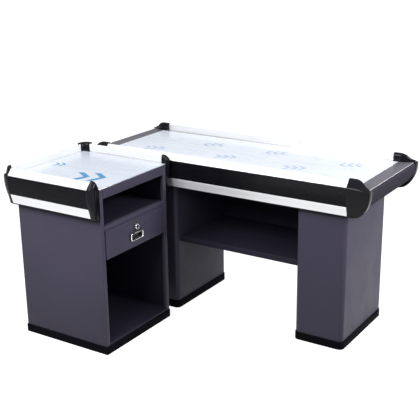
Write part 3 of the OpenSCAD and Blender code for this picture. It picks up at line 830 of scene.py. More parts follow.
def side_tops():
    """Board, steel sheet and its film on the side cabinet."""
    r = RIM_IN * MM
    radii = [r, 0, 0, r]
    lo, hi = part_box("side_top_board")
    plan = rounded([(lo.x, lo.y), (hi.x, lo.y), (hi.x, hi.y), (lo.x, hi.y)], radii, 10)
    piece("side_board", slab(plan, "Z", lo.z, hi.z - 0.2 * MM), BOARD, ["side_top_board"])

    lo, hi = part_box("side_steel_top")
    t = (hi.z - lo.z) / 2
    nose = hi.x + 0.2 * MM - t
    line = [(lo.x + r, hi.z - t), (nose, hi.z - t), (nose, lo.z - 2.0 * MM)]
    front = slab(folded(line, 2 * t, 2.0 * MM), "Y", SIDE_Y0 - 3.4 * MM, SIDE_Y1 + 3.4 * MM, 0.3 * MM)
    x1 = SIDE_X1 - 31 * MM
    plan = rounded([(lo.x, lo.y), (x1, lo.y), (x1, hi.y), (lo.x, hi.y)], radii, 10)
    rear = slab(plan, "Z", lo.z, hi.z - 0.02 * MM, 0.2 * MM, 1)
    piece("side_steel_sheet", joined(front, rear), STEEL, ["side_steel_top"])
    film_sheet("side_film", SIDE_FILM, SIDE_X0 - 19 * MM, SIDE_X1 - 0.4 * MM, SIDE_Y0 - 2 * MM,
               SIDE_Y1 + 2 * MM, 40, 40)


def film_sheet(name, finish, x0, x1, y0, y1, across, deep):
    """Film laid on a worktop, with low wrinkles."""
    points, faces = [], []
    base = TOP + 0.15 * MM
    for top in (1, 0):
        for i in range(across + 1):
            for k in range(deep + 1):
                x, y = x0 + (x1 - x0) * i / across, y0 + (y1 - y0) * k / deep
                border = min(i, across - i, k, deep - k)
                wave = math.sin(x * 41 + 3 * math.sin(y * 17)) * math.sin(y * 29 + 2 * math.sin(x * 13))
                z = base + (0.16 + 0.16 * wave) * MM * min(border / 2, 1)
                points.append((x, y, z + 0.1 * MM * top))
    size = (across + 1) * (deep + 1)
    for i in range(across):
        for k in range(deep):
            a = i * (deep + 1) + k
            quad = (a, a + 1, a + deep + 2, a + deep + 1)
            faces.append(quad[::-1])
            faces.append(tuple(q + size for q in quad))
    rim = [i * (deep + 1) for i in range(across + 1)]
    rim += [across * (deep + 1) + k for k in range(1, deep + 1)]
    rim += [i * (deep + 1) + deep for i in range(across - 1, -1, -1)]
    rim += [k for k in range(deep - 1, 0, -1)]
    for a, b in zip(rim, rim[1:] + rim[:1]):
        faces.append((a, b, b + size, a + size))
    piece(name, (points, faces), finish, crease=60)


def chevrons(name, centre, size, turn, finish, count=2):
    """Plain arrow-shaped marks printed on a film, pointing one way."""
    cos, sin = math.cos(math.radians(turn)) * size, math.sin(math.radians(turn)) * size
    solids = []
    for k in range(count):
        x = (k - (count - 1) / 2) * 0.62
        arrow = [(x - 0.30, -0.5), (x - 0.06, -0.5), (x + 0.32, 0.0), (x - 0.06, 0.5), (x - 0.30, 0.5),
                 (x + 0.08, 0.0)]
        outline = [(centre[0] + p * cos - q * sin, centre[1] + p * sin + q * cos) for p, q in arrow]
        solids.append(slab(outline, "Z", TOP + 0.66 * MM, TOP + 0.76 * MM, 0))
    piece(name, joined(*solids), finish)


def side_edges():
    """Rails, bumpers, trims and caps round the side cabinet's worktop."""
    x1 = SIDE_X1 - CAP_LEN * MM
    edge_run("side_near", run_x, SIDE_X0 + 3 * MM, x1, SIDE_Y0, -1, RAIL_X, PVC_X)
    edge_run("side_left", run_y, SIDE_Y0 + 3 * MM, SIDE_Y1 - 9 * MM, SIDE_X0, -1, RAIL_Y, PVC_Y)
    far = run_x(low_rim_section(), SIDE_X0 + 9 * MM, x1, SIDE_Y1, 1)
    piece("side_far_edge_rail", far, RAIL_X, ["side_far_rail"])

    cap = corner_sweep(front_corner_section(), (SIDE_X0, SIDE_Y0), (0, -1), (-1, 0), 3 * MM)
    piece("side_corner_cap_front", cap, CAP, ["side_corner_cap"])
    cap = corner_sweep(rear_corner_section(), (SIDE_X0, SIDE_Y1), (-1, 0), (0, 1), 9 * MM, FAR_OUT * MM)
    piece("side_corner_cap_rear", cap, CAP, ["side_rear_corner_cap"])
    cap = end_cap_solid(SIDE_Y0, -1, CAP_OUT, EAR_OUTER)
    piece("side_end_cap_near", cap, CAP, ["side_near_end_cap"])
    cap = end_cap_solid(SIDE_Y1, 1, FAR_OUT, EAR_ROUND)
    piece("side_end_cap_far", cap, CAP, ["side_far_end_cap"])


def front_corner_section():
    """Near left corner cap: a narrow crest, a hollow shoulder, then the bumper's face."""
    return mm(
        [(22.0, BOARD_LOW), (22.0, 2.0), (23.0, 20.0), (25.2, 33.0)]
        + arc(30.0, 37.0, 4.5, 4.5, 170, 25, 8)
        + [(37.6, 28.0), (40.6, 17.0), (42.0, 10.5), (43.6, 7.6), (46.6, 5.8), (50.0, 4.4), (52.4, 2.2),
           (53.6, -1.0)]
        + ribbed(-2.0, BUMPER_LOW - 1.0, 17.0, 0.7)
        + lower_cap_points()
    )


def rear_corner_section():
    """Rear left corner cap: its inner wall leans out to a crest with a flared lip."""
    return mm(
        [(22.0, BOARD_LOW), (22.0, 1.0), (23.4, 14.0), (25.6, 27.0), (29.0, 36.0), (34.0, 40.4), (38.6, 42.0),
         (41.4, 41.2), (42.6, 38.8), (42.4, 33.0), (42.8, 16.0), (44.6, 9.0), (49.0, 5.6), (52.6, 1.8)]
        + ribbed(-2.0, BUMPER_LOW - 1.0, 17.0, 0.7)
        + lower_cap_points()
    )


def lower_cap_points():
    """Cap below the bumper: in to the skirt's lip and back under the board."""
    return ([(41.6, -93.0), (38.5, -108.0), (34.5, -126.0)] + arc(31.0, -131.0, 3.6, 3.6, 15, -90, 5)
            + [(RIM_IN + 2.0, -134.6), (RIM_IN + 1.0, -133.6), (RIM_IN, BOARD_LOW - 2)])


def end_cap_solid(face, side, out, ear):
    """Cap at the open end of a side cabinet rail.

    Its crest falls in a full curve to the worktop's level, its outer corner is
    round in plan and a cheek covers the board's end.
    """
    bottom, crest_end, corner = SKIRT_LOW - 4, 5.0, 25.0
    count = int((-1.5 - bottom) // 3)
    levels = [bottom, bottom + 1.2] + [-1.5 - 3.0 * k for k in range(count - 1, -1, -1)]
    outer = [(cap_face(v), v) for v in levels]
    inner = [(RIM_IN, v) for v in levels]
    ring = outer + ear + (inner + EAR_INNER)[::-1]
    spots = [(-CAP_LEN, 0.5), (-CAP_LEN + 0.2, 0.15)]
    spots += [((CAP_LEN - 0.5) * (math.sin(math.pi / 2 * k / 14) - 1), 0.0) for k in range(15)]
    spots.append((0.4, 0.5))
    rings = []
    for x, sunk in spots:
        ahead = min(max((x + CAP_LEN) / CAP_LEN, 0.0), 1.0)
        crest = crest_end + (CAP_RISE - crest_end) * (1 - ahead ** 2.8) ** (1 / 2.8)
        turned_in = min(max((x + corner) / corner, 0.0), 1.0)
        limit = min(out, CAP_OUT - corner + corner * math.sqrt(1 - turned_in ** 2))
        places = [(min(u, limit), v * crest / CAP_RISE if v > 1 else v) for u, v in ring]
        rings.append([(SIDE_X1 + x * MM, face + side * u * MM, TOP + v * MM) for u, v in inset(places, sunk)])
    inner_u = RIM_IN + 6
    cheek = mm(rounded([(0.6, bottom + 2), (inner_u, bottom + 2), (inner_u, 3.0), (4.0, 3.0), (0.6, 0.4)],
                       [1, 1, 2, 2, 1], 3))
    outline = [(face + side * u, TOP + v) for u, v in cheek]
    plate = slab(outline, "X", SIDE_X1 - 0.4 * MM, SIDE_X1 + 1.0 * MM, 0.5 * MM)
    return joined(loft(rings), plate)


plinth("side_plinth", 7 * MM, 6, 0)
side_shell("side_near_shell", False, ["side_near_panel", "side_near_stile"])
side_shell("side_far_shell", True, ["side_far_panel", "side_far_stile"])
side_back()
side_face_members()
side_shade_lining()
side_tops()
side_edges()
chevrons("side_film_arrows", (SIDE_X0 + 0.33, SIDE_Y0 + 0.14), 0.13, 20, PRINT_BLUE)
chevrons("side_film_arrows_rear", (SIDE_X0 + 0.06, SIDE_Y0 + 0.24), 0.05, 20, PRINT_BLUE)


# Drawer, slides, handle and lock -------------------------------------------------

RING_LO, RING_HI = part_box("handle_ring")
FRONT_X = high("drawer_front").x
WIRE_R = 3.0 * MM
LOCK_Z = (low("lock_nut").z + high("lock_nut").z) / 2
LOCK_R = 9.6 * MM         # radius of the hole for the lock
CUP = (low("handle_screws").z + high("handle_screws").z) / 2
CUP_W, CUP_H, CUP_DEPTH = 72 * MM, 26 * MM, 14 * MM
PLATE_T = 3.0 * MM
LUG_Y = 27 * MM           # distance of the ring's lugs from the middle
SLIDE_T = 1.2 * MM        # thickness of the slides


def slide_run(line, lo, hi):
    """Slide members at both sides, with a line as the near one's section."""
    return both(slab(folded(line, SLIDE_T, 1.6 * MM, 3), "X", lo.x, hi.x, 0.2 * MM, 1))


def channel(lo, hi, width):
    """Section line of a C channel that opens towards the drawer, with short lips."""
    t, y1 = SLIDE_T / 2, lo.y + width
    return [(y1 - SLIDE_T, lo.z + 4 * MM), (y1 - t, lo.z + t), (lo.y + t, lo.z + t),
            (lo.y + t, hi.z - t), (y1 - t, hi.z - t), (y1 - SLIDE_T, hi.z - 4 * MM)]


def slides():
    """Telescopic slides, brackets and screws, the same at both sides."""
    lo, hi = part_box("slide_cabinet_members")
    outer_y = lo.y
    solid = slide_run(channel(lo, hi, 8 * MM), lo, hi)
    piece("slide_outer_members", solid, ZINC, ["slide_cabinet_members"])

    lo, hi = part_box("slide_middle_members")
    solid = joined(slide_run(channel(lo, hi, 6.4 * MM), lo, hi), ball_cages(lo, hi))
    piece("slide_centre_members", solid, ZINC, ["slide_middle_members"], "slide_middle")

    lo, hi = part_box("slide_drawer_members")
    t, y1 = SLIDE_T / 2, low("drawer_near_side").y
    line = [(y1 - 6.4 * MM, lo.z + t), (y1 - t, lo.z + t), (y1 - t, hi.z - t), (y1 - 6.4 * MM, hi.z - t)]
    solid = slide_run(line, lo, hi)
    piece("slide_inner_members", solid, ZINC, ["slide_drawer_members"], "drawer")

    lo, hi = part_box("slide_brackets")
    y, z0, z1 = outer_y - 1 * MM, lo.z + 1 * MM, hi.z - 1 * MM
    bent = folded([(lo.y, z0), (y, z0), (y, z1), (lo.y, z1)], 1.6 * MM, 2.5 * MM)
    near = slab(bent, "X", lo.x, hi.x, 0.3 * MM, 1)
    piece("slide_bracket_pair", both(near), ZINC, ["slide_brackets"])

    lo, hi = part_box("slide_screws")
    radius = 3.5 * MM
    span = hi.x - lo.x - 2 * radius
    places = [(lo.x + radius + span * k / 2, lo.y, (lo.z + hi.z) / 2) for k in range(3)]
    near = joined(*[screw_head(place, radius, "Y") for place in places])
    piece("slide_screw_heads", both(near), ZINC, ["slide_screws"])


def ball_cages(lo, hi):
    """Rows of steel balls in the slides, upper and lower."""
    radius = 1.5 * MM
    y = lo.y + 1.4 * MM + radius
    angles = [math.pi * k / 6 for k in range(1, 6)]
    profile = [(radius * math.sin(a), -radius * math.cos(a)) for a in angles]
    balls = []
    for z in (lo.z + 3.0 * MM, hi.z - 3.0 * MM):
        balls += [turned(profile, (lo.x + (20 + 8 * k) * MM, y, z), "Z", 10) for k in range(14)]
    return both(joined(*balls))


def screw_head(centre, radius, axis):
    """Low pan head with a cross recess; the head grows along +axis from its centre."""
    arm, half = radius * 0.55, radius * 0.13
    cross = [(half, half), (arm, half), (arm, -half), (half, -half), (half, -arm), (-half, -arm),
             (-half, -half), (-arm, -half), (-arm, half), (-half, half), (-half, arm), (half, arm)]
    head = slab([circle(0, 0, radius, 24), cross], "Z", 0.3 * MM, 1.0 * MM, 0.25 * MM, 2)
    base = slab(circle(0, 0, radius, 24), "Z", 0, 0.5 * MM, 0)
    points, faces = joined(head, base)
    return [tuple(TURN[axis] @ Vector(p) + Vector(centre)) for p in points], faces


def cup_outline(grow, radius):
    """Outline of the finger cup, grown by a distance."""
    y, z = CUP_W / 2 + grow, CUP_H / 2 + grow
    return rectangle(MID_Y - y, CUP - z, MID_Y + y, CUP + z, radius)


def hemmed(base, z0, z1):
    """Section of an upright sheet whose upper edge is turned in and down."""
    x, z = base + SHEET / 2, z1 - SHEET / 2
    line = [(x, z0), (x, z), (base + 6 * MM, z), (base + 6 * MM, z1 - 5 * MM)]
    return folded(line, SHEET, 1.4 * MM)


def drawer_face():
    """Drawer front, with holes for the cup and the lock, and its four returns."""
    lo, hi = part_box("drawer_front")
    y0, y1 = lo.y + 3.0 * MM, hi.y
    t = SHEET / 2
    loops = [rectangle(y0, lo.z, y1, hi.z, 1.2 * MM, 3), cup_outline(2 * MM, 1 * MM),
             circle(MID_Y, LOCK_Z, LOCK_R)]
    solids = [slab(loops, "X", hi.x - SHEET, hi.x, 0.7 * MM, 3)]
    upright = ("Z", lo.z + 0.6 * MM, hi.z - 0.6 * MM)
    level = ("Y", y0 + SHEET, y1 - SHEET)
    inside = hi.x - 0.6 * SHEET
    for rim, inwards, run in ((y0, 1, upright), (y1, -1, upright), (hi.z, -1, level), (lo.z, 1, level)):
        line = [(lo.x, rim + inwards * 9 * MM), (lo.x, rim + inwards * t), (inside, rim + inwards * t)]
        solids.append(sheet(line, *run))
    piece("drawer_face", joined(*solids), PAINT, ["drawer_front"], "drawer")


def drawer_box():
    """Sheet box behind the drawer front, with rolled upper edges."""
    t = SHEET / 2
    lo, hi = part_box("drawer_floor")
    line = [(lo.x, lo.z + t), (hi.x - 1 * MM, lo.z + t), (hi.x - 1 * MM, lo.z + 12 * MM)]
    floor = sheet(line, "Y", lo.y, hi.y)
    piece("drawer_tray_floor", floor, ZINC, ["drawer_floor"], "drawer")
    lo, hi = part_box("drawer_near_side")
    near = slab(hemmed(lo.y, lo.z, hi.z), "X", lo.x, hi.x, 0.2 * MM)
    piece("drawer_side_near", near, ZINC, ["drawer_near_side"], "drawer")
    piece("drawer_side_far", mirrored_y(near, MID_Y), ZINC, ["drawer_far_side"], "drawer")
    lo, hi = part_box("drawer_back")
    back = slab(hemmed(lo.x, lo.z, hi.z), "Y", lo.y, hi.y, 0.2 * MM)
    piece("drawer_rear_panel", back, ZINC, ["drawer_back"], "drawer")


def bell(grow=0.0):
    """Bell outline of the handle plate: wide round the ring, narrow round the lock."""
    w, z0, z1 = 52 * MM + grow, CUP - 23 * MM - grow, CUP + 23 * MM + grow
    neck, r = 20 * MM + grow, 20.5 * MM + grow
    shoulder = [(w, z0), (w, z1 - 8 * MM), (w * 0.62, z1 + 2 * MM), (neck + 1 * MM, z1 + 10 * MM)]
    dome = arc(MID_Y, LOCK_Z, r, r, 5, 175, 20)
    right = [(MID_Y + x, z) for x, z in shoulder]
    left = [(MID_Y - x, z) for x, z in shoulder[::-1]]
    loop = right + dome + left
    radii = [9 * MM, 10 * MM, 16 * MM, 10 * MM] + [0] * len(dome) + [10 * MM, 16 * MM, 10 * MM, 9 * MM]
    return rounded(loop, radii, 6)


def handle():
    """Bell-shaped plate with a raised border, a finger cup, lugs and the pull ring."""
    x0, back = FRONT_X, FRONT_X - CUP_DEPTH
    cup = cup_outline(0, 6 * MM)
    solids = [
        slab([bell(), cup, circle(MID_Y, LOCK_Z, LOCK_R)], "X", x0, x0 + PLATE_T - 0.8 * MM, 0.8 * MM, 3),
        slab([bell(), bell(-3.0 * MM)], "X", x0 + 0.5 * MM, x0 + PLATE_T, 0.7 * MM, 3),
        slab([cup_outline(2 * MM, 7 * MM), cup], "X", back, x0 + 1 * MM, 0.3 * MM, 1),
        slab(cup_outline(1 * MM, 6 * MM), "X", back, back + 2 * MM, 0.3 * MM, 1),
    ]
    axis_z = RING_HI.z - WIRE_R
    lug = rounded([(x0 + 1 * MM, axis_z - 5 * MM), (x0 + 11 * MM, axis_z - 5 * MM),
                   (x0 + 11 * MM, axis_z + 5 * MM), (x0 + 1 * MM, axis_z + 5 * MM)],
                  [0, 4.8 * MM, 4.8 * MM, 0], 8)
    hole = circle(x0 + 6.5 * MM, axis_z, WIRE_R + 0.4 * MM, 24)
    for y in (MID_Y - LUG_Y, MID_Y + LUG_Y):
        solids.append(slab([lug, hole], "Y", y - 4 * MM, y + 4 * MM, 0.4 * MM, 2))
    piece("handle_bell_plate", joined(*solids), HANDLE, ["handle_plate"], "drawer")

    plan = rectangle(RING_LO.y + WIRE_R, RING_LO.z + WIRE_R, RING_HI.y - WIRE_R, RING_HI.z - WIRE_R,
                     9 * MM, 10)
    x = (RING_LO.x + RING_HI.x) / 2
    line = [(x, y, z) for y, z in even(plan, 3 * MM)]
    ring = tube(line, WIRE_R, (1, 0, 0))
    piece("pull_ring_wire", ring, CHROME, ["handle_ring"], "pull_ring", 80)

    lo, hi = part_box("handle_screws")
    radius = 3.5 * MM
    heads = []
    for y in (lo.y + radius, hi.y - radius):
        heads.append(mirrored_x(screw_head((-lo.x - 1.6 * MM, y, CUP), radius, "X"), 0))
    piece("handle_screw_heads", joined(*heads), ZINC, ["handle_screws"], "drawer")


def even(loop, gap):
    """Closed outline with extra points on its long stretches."""
    out = []
    for a, b in zip(loop, loop[1:] + loop[:1]):
        count = max(1, round(math.dist(a, b) / gap))
        out += [(a[0] + (b[0] - a[0]) * i / count, a[1] + (b[1] - a[1]) * i / count) for i in range(count)]
    return out


def lock():
    """Cam lock: stepped chrome collar, slotted plug, cam and nut."""
    r, front, back = 14 * MM, FRONT_X + 14 * MM, FRONT_X - 20 * MM
    seat, bore = FRONT_X + 3 * MM, 7.1 * MM
    profile = [(9.5 * MM, back), (9.5 * MM, seat), (r, seat), (r, front - 5 * MM)]
    profile += [(r - 0.4 * MM, front - 4.6 * MM), (r - 0.4 * MM, front - 4.0 * MM), (r, front - 3.6 * MM)]
    profile += [(r - 0.3 * MM, front - 1.4 * MM), (r - 1.2 * MM, front - 0.3 * MM), (r - 2.4 * MM, front)]
    profile += [(9.2 * MM, front - 0.4 * MM), (8.4 * MM, front - 1.6 * MM), (bore, front - 1.8 * MM),
                (bore, back)]
    collar = turned(profile, (0, MID_Y, LOCK_Z), "X", 64, closed=True)
    piece("lock_collar_ring", collar, CHROME, ["lock_collar"], "drawer")

    slot_h, slot_w = 4.2 * MM, 0.8 * MM
    key = rectangle(MID_Y - slot_w, LOCK_Z - slot_h, MID_Y + slot_w, LOCK_Z + slot_h, 0.4 * MM, 2)
    disc = circle(MID_Y, LOCK_Z, 7 * MM)
    face = slab([disc, key], "X", front - 6 * MM, front - 0.6 * MM, 0.5 * MM, 2)
    shank = slab(disc, "X", low("lock_plug").x, front - 5.9 * MM, 0.4 * MM, 1)
    piece("lock_key_plug", joined(face, shank), LOCK, ["lock_plug"], "lock")

    lo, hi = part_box("lock_cam")
    outline = arc(MID_Y, LOCK_Z, 8 * MM, 8 * MM, 40, 320, 20)
    outline += arc(hi.y - 5 * MM, LOCK_Z, 5 * MM, 5 * MM, -80, 80, 12)
    half = 3 * MM
    square = rectangle(MID_Y - half, LOCK_Z - half, MID_Y + half, LOCK_Z + half, 0.5 * MM, 2)
    cam = slab([outline, square], "X", lo.x, hi.x, 0.4 * MM, 2)
    piece("lock_cam_plate", cam, ZINC, ["lock_cam"], "lock")

    lo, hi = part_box("lock_nut")
    hexagon = rounded(circle(MID_Y, LOCK_Z, 14 * MM, 6), 0.8 * MM, 2)
    nut = slab([hexagon, circle(MID_Y, LOCK_Z, LOCK_R)], "X", lo.x, hi.x, 0.6 * MM, 2)
    piece("lock_hex_nut", nut, ZINC, ["lock_nut"], "drawer")


slides()
drawer_face()
drawer_box()
handle()
lock()


# Main counter ---------------------------------------------------------------------

def pedestal(name):
    """Folded sheet box with round upright corners and a lapped seam at the back."""
    lo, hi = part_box(name)
    r = 22 * MM
    outer = rectangle(lo.x, lo.y, hi.x, hi.y, r, 12)
    inner = rectangle(lo.x + SHEET, lo.y + SHEET, hi.x - SHEET, hi.y - SHEET, r - SHEET, 12)
    x, half = (lo.x + hi.x) / 2, 12 * MM
    seam = box((x - half, hi.y - 0.2 * MM, lo.z + 2 * MM), (x + half, hi.y + 1.1 * MM, hi.z - 2 * MM),
               0.4 * MM)
    solid = joined(slab([outer, inner], "Z", lo.z, hi.z, 0.6 * MM), seam)
    piece(f"{name}_box", solid, PAINT, [name])


def knee_space():
    """Shelf, its brackets, the back panel and the two beams between the pedestals."""
    t = SHEET / 2
    # The shelf, the back panel and the beams take the darkened coat: painted shade.
    lo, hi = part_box("main_shelf")
    y0, y1, z0, z1 = lo.y + t, hi.y - t, lo.z + t, hi.z - t
    line = [(lo.y + 13 * MM, z0), (y0, z0), (y0, z1), (y1, z1), (y1, z0), (hi.y - 13 * MM, z0)]
    piece("main_shelf_tray", sheet(line, "X", lo.x, hi.x), SHADED_PAINT, ["main_shelf"])

    lo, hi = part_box("shelf_brackets")
    x, z, width = lo.x + 1 * MM, hi.z - 1 * MM, 30 * MM
    bent = folded([(x, lo.z), (x, z), (lo.x + 26 * MM, z)], 2 * MM, 2.5 * MM)
    solids = []
    for y in (lo.y, hi.y - width):
        head = screw_head((lo.x + 2 * MM, y + width / 2, lo.z + 11 * MM), 4 * MM, "X")
        for solid in (slab(bent, "Y", y, y + width, 0.4 * MM), head):
            solids += [solid, mirrored_x(solid, (lo.x + hi.x) / 2)]
    piece("shelf_angle_brackets", joined(*solids), ZINC, ["shelf_brackets"])

    lo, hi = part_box("main_back_panel")
    line = [(lo.y - 12 * MM, hi.z - t), (lo.y + t, hi.z - t), (lo.y + t, lo.z + t)]
    piece("main_back_sheet", sheet(line, "X", lo.x, hi.x), SHADED_PAINT, ["main_back_panel"])

    for name in ("main_front_beam", "main_rear_beam"):
        lo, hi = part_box(name)
        y0, y1, z = lo.y + 1 * MM, hi.y - 1 * MM, hi.z - 1 * MM
        bent = folded([(y0, lo.z), (y0, z), (y1, z), (y1, lo.z)], 2 * MM, 3 * MM)
        piece(f"{name}_channel", slab(bent, "X", lo.x, hi.x, 0.2 * MM), SHADED_PAINT, [name])


def main_tops():
    """Board, steel sheet and two lengths of film on the main counter."""
    lo, hi = low("main_top_board"), high("main_top_board")
    piece("main_board", box(lo, (hi.x, hi.y, hi.z - 0.2 * MM), 0.8 * MM), BOARD,
          ["main_top_board"])
    lo, hi = low("main_steel_top"), high("main_steel_top")
    piece("main_steel_sheet", box(lo, hi, 0.3 * MM), STEEL, ["main_steel_top"])
    seam = lo.x + 0.30 * (hi.x - lo.x)
    y0, y1 = lo.y + 19 * MM, hi.y - 19 * MM
    film_sheet("main_film_left", FILM, lo.x + 2 * MM, seam + 9 * MM, y0, y1, 48, 44)
    film_sheet("main_film_right", FILM, seam, hi.x - 2 * MM, y0, y1, 90, 44)


def main_edges():
    """Rails, bumpers, end rails and corner caps of the main counter."""
    x0, x1 = MAIN_X0 - 15 * MM, MAIN_X1 + 15 * MM
    edge_run("main_front", run_x, x0, x1, MAIN_Y0, -1, RAIL_X, PVC_X)
    edge_run("main_back", run_x, x0, x1, TOP_Y1, 1, RAIL_X, PVC_X)

    y0, y1 = MAIN_Y0 - RIM_IN * MM, TOP_Y1 + RIM_IN * MM
    # A lighter grey plate on the end profile's flat top paints its sheen.
    strip = mm(rectangle(END_IN + 1, 0, 109.0, 0.5, 0.2, 2))
    # A pale aluminium bead along the end profile paints its highlight line.
    line = mm(rectangle(109.8, -0.8, 112.0, 0.9, 0.7, 4))
    for side, name, face in ((-1, "main_left", MAIN_X0), (1, "main_right", MAIN_X1)):
        place = (y0, y1, face, side)
        profile = run_y(end_rail_section(), *place)
        piece(f"{name}_end_profile", profile, PROFILE, [f"{name}_end_rail"])
        piece(f"{name}_end_top_sheen", run_y(strip, *place), TOP_SHEEN)
        piece(f"{name}_end_highlight_line", run_y(line, *place), RAIL_Y)

    right = main_cap_solid()
    left = mirrored_x(right, (MAIN_X0 + MAIN_X1) / 2)
    middle = (MAIN_Y0 + TOP_Y1) / 2
    for side, front in (("right", right), ("left", left)):
        for end, cap in (("front", front), ("back", mirrored_y(front, middle))):
            piece(f"main_cap_{end}_{side}", cap, CAP, [f"main_{end}_{side}_cap"])


# Crest of a main counter cap's ear: (distance past the end face, height); how far
# its inner wall stands out from the body face; and how much of the wall is upright
EAR_CREST = [(50, 42), (58, 40.8), (66, 38), (74, 35), (80, 31), (85, 26), (91, 21), (96, 16.5), (104, 13),
             (112, 10.5), (118, 8.5)]
EAR_FOOT = [(52, 4), (62, 6), (72, 9), (82, 13), (92, 18), (102, 24), (112, 30), (118, 34)]
EAR_WALL = [(52, 1.0), (62, 0.92), (72, 0.7), (80, 0.42), (88, 0.15), (94, 0.0)]


def main_cap_chains():
    """Outer and inner outline of the cap from its bottom to its crest, point for point."""
    levels = [-135.0, -134.0, -132.0] + [-129.0 + 3.0 * k for k in range(42)] + [-1.5]
    outer = [(cap_face(v), v) for v in levels]
    inner = [(22.5 + max(0.0, -131.5 - v) * 0.9, v) for v in levels]
    return outer + EAR_OUTER, inner + EAR_INNER


def cap_reach(v):
    """How far a main counter cap reaches past the pedestal's end face at a level."""
    if v >= 0:
        return 125.0 - 7.0 * v / 42
    return 35.0 + 90.0 * math.sqrt(max(0.0, 1 - ((min(v, -15.0) + 15.0) / 121.0) ** 2))


def main_cap_point(u, v, x, inside):
    """Where a point of the cap's outline lies at a distance past the end face."""
    if v < -1.4 and u >= 22:
        return (x, u, -0.1 if v > -2 and u < 23 and x > END_IN + 1 else v)
    if x > END_IN + 1 and v < 1:
        v = max(v, 0.15)
    shift = eased(EAR_FOOT, x) - 4
    crest = eased(EAR_CREST, x)
    if inside and v > 1:
        upright = eased(EAR_WALL, x)
        v *= upright + (1 - upright) * (v / 42) ** 2
    return (x, u + shift * (56 - u) / 52, v * crest / 42 if v > 1 else v)


def main_cap_solid():
    """Front right corner cap: the rail's section, ended by a D seen from the front."""
    outer, inner = main_cap_chains()
    ring = outer + inner[::-1]
    start, soft = 15.0, 8.0
    shares = [0.0, 0.004, 0.02] + [0.06 + 0.94 * k / 22 for k in range(23)]
    stations = [(share, (0.5, 0.15)[i] if i < 2 else 0.0, 0.0) for i, share in enumerate(shares)]
    for k in range(1, 7):
        angle = math.pi / 2 * k / 6
        stations.append((1.0, soft * 0.55 * (1 - math.cos(angle)), soft * math.sin(angle)))
    rings = []
    for share, sunk, ahead in stations:
        places = []
        for i, (u, v) in enumerate(ring):
            reach = cap_reach(v) - soft
            places.append(main_cap_point(u, v, start + (reach - start) * share + ahead, i >= len(outer)))
        flat = inset([(u, v) for x, u, v in places], sunk)
        rings.append([(MAIN_X1 + x * MM, MAIN_Y0 - u * MM, TOP + v * MM)
                      for (x, _, _), (u, v) in zip(places, flat)])
    points, faces = loft(rings, ends=False)
    size, half = len(ring), len(outer)
    for first in (0, (len(rings) - 1) * size):
        for i in range(half - 1):
            faces.append((first + i, first + i + 1, first + size - 2 - i, first + size - 1 - i))
    return points, faces


def main_prints():
    """Six pale groups of arrow marks, in two rows that point opposite ways."""
    spots = [(0.12, 0.28), (0.30, 0.70), (0.44, 0.33), (0.58, 0.72), (0.74, 0.30), (0.90, 0.66)]
    for number, (across, deep) in enumerate(spots):
        centre = (MAIN_X0 + across * (MAIN_X1 - MAIN_X0), MAIN_Y0 + deep * (TOP_Y1 - MAIN_Y0))
        turn = 200 if number % 2 else 20
        chevrons(f"main_film_arrows_{number + 1}", centre, 0.06, turn, PRINT_PALE, 3)


for side in ("left", "right"):
    plinth(f"main_{side}_plinth", 26 * MM, 10, 1)
for side in ("left", "right"):
    pedestal(f"main_{side}_pedestal")
knee_space()
main_tops()
main_edges()
main_prints()


# Stage, light and camera ------------------------------------------------------------

def stage():
    """Pale floor that reaches past the horizon of the view.

    It takes shadows and shows in glossy surfaces, but throws no light back up, so
    that the spaces under the counter stay deep.
    """
    mesh = bpy.data.meshes.new("floor")
    size = 60.0
    mesh.from_pydata([(-size, -size, 0), (size, -size, 0), (size, size, 0), (-size, size, 0)], [],
                     [(0, 1, 2, 3)])
    floor = bpy.data.objects.new("floor", mesh)
    bpy.context.scene.collection.objects.link(floor)
    floor.visible_diffuse = False
    mat = bpy.data.materials.new("floor_white")
    mat.use_nodes = True
    shader = mat.node_tree.nodes["Principled BSDF"]
    shader.inputs["Base Color"].default_value = (0.30, 0.30, 0.30, 1)
    shader.inputs["Roughness"].default_value = 0.9
    shader.inputs["Specular IOR Level"].default_value = 0.0
    shader.inputs["Emission Color"].default_value = (1, 1, 1, 1)
    shader.inputs["Emission Strength"].default_value = 0.93
    mesh.materials.append(mat)


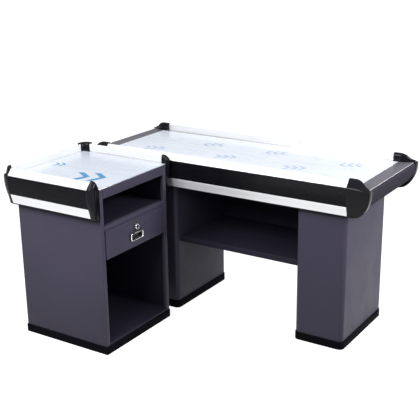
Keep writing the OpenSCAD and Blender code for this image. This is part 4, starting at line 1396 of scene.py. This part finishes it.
def softbox(name, place, target, width, height, power):
    """Rectangular area light that looks at a target."""
    data = bpy.data.lights.new(name, "AREA")
    data.shape = "RECTANGLE"
    data.size, data.size_y, data.energy = width, height, power
    lamp = bpy.data.objects.new(name, data)
    bpy.context.scene.collection.objects.link(lamp)
    lamp.location = place
    lamp.rotation_euler = (Vector(target) - Vector(place)).to_track_quat("-Z", "Y").to_euler()


def lights():
    """Surroundings that are paler overhead, and softboxes in front, at the right and above."""
    world = bpy.data.worlds.new("studio")
    bpy.context.scene.world = world
    world.use_nodes = True
    tree = world.node_tree
    direction = add_node(tree, "ShaderNodeTexCoord").outputs["Generated"]
    height = add_node(tree, "ShaderNodeSeparateXYZ", {"Vector": direction}).outputs["Z"]
    strength = remap(tree, height, -0.05, 1.0, 0.13, 0.95)
    tree.links.new(strength, tree.nodes["Background"].inputs["Strength"])
    tree.nodes["Background"].inputs["Color"].default_value = (1.0, 1.0, 1.0, 1)
    softbox("front", (-0.3, -2.2, 2.2), (0.1, 0, 0.5), 1.6, 1.0, 60)
    softbox("right", (2.9, 0.6, 2.3), (0.4, -0.1, 0.5), 1.2, 1.2, 96)
    softbox("overhead", (-1.2, -1.2, 2.5), (-0.2, -0.4, 0.8), 0.6, 0.5, 10)


def camera():
    """Camera at the photograph's angle: azimuth 32.8, elevation 18.0, roll -0.7 degrees."""
    azimuth, elevation, roll = math.radians(32.77), math.radians(18.03), math.radians(-0.70)
    ahead = Vector((-math.sin(azimuth) * math.cos(elevation), math.cos(azimuth) * math.cos(elevation),
                    -math.sin(elevation)))
    right = Vector((math.cos(azimuth), math.sin(azimuth), 0))
    up = right.cross(ahead)
    right, up = (right * math.cos(roll) + up * math.sin(roll), up * math.cos(roll) - right * math.sin(roll))
    data = bpy.data.cameras.new("camera")
    data.sensor_width = 36.0
    data.lens = 74.12
    data.clip_end = 200.0
    cam = bpy.data.objects.new("camera", data)
    bpy.context.scene.collection.objects.link(cam)
    turn = Matrix((right, up, -ahead)).transposed()
    cam.matrix_world = Matrix.Translation((2.1222, -3.3201, 1.8762)) @ turn.to_4x4()
    bpy.context.scene.camera = cam


stage()
lights()
camera()
bpy.context.scene.view_settings.view_transform = "Standard"
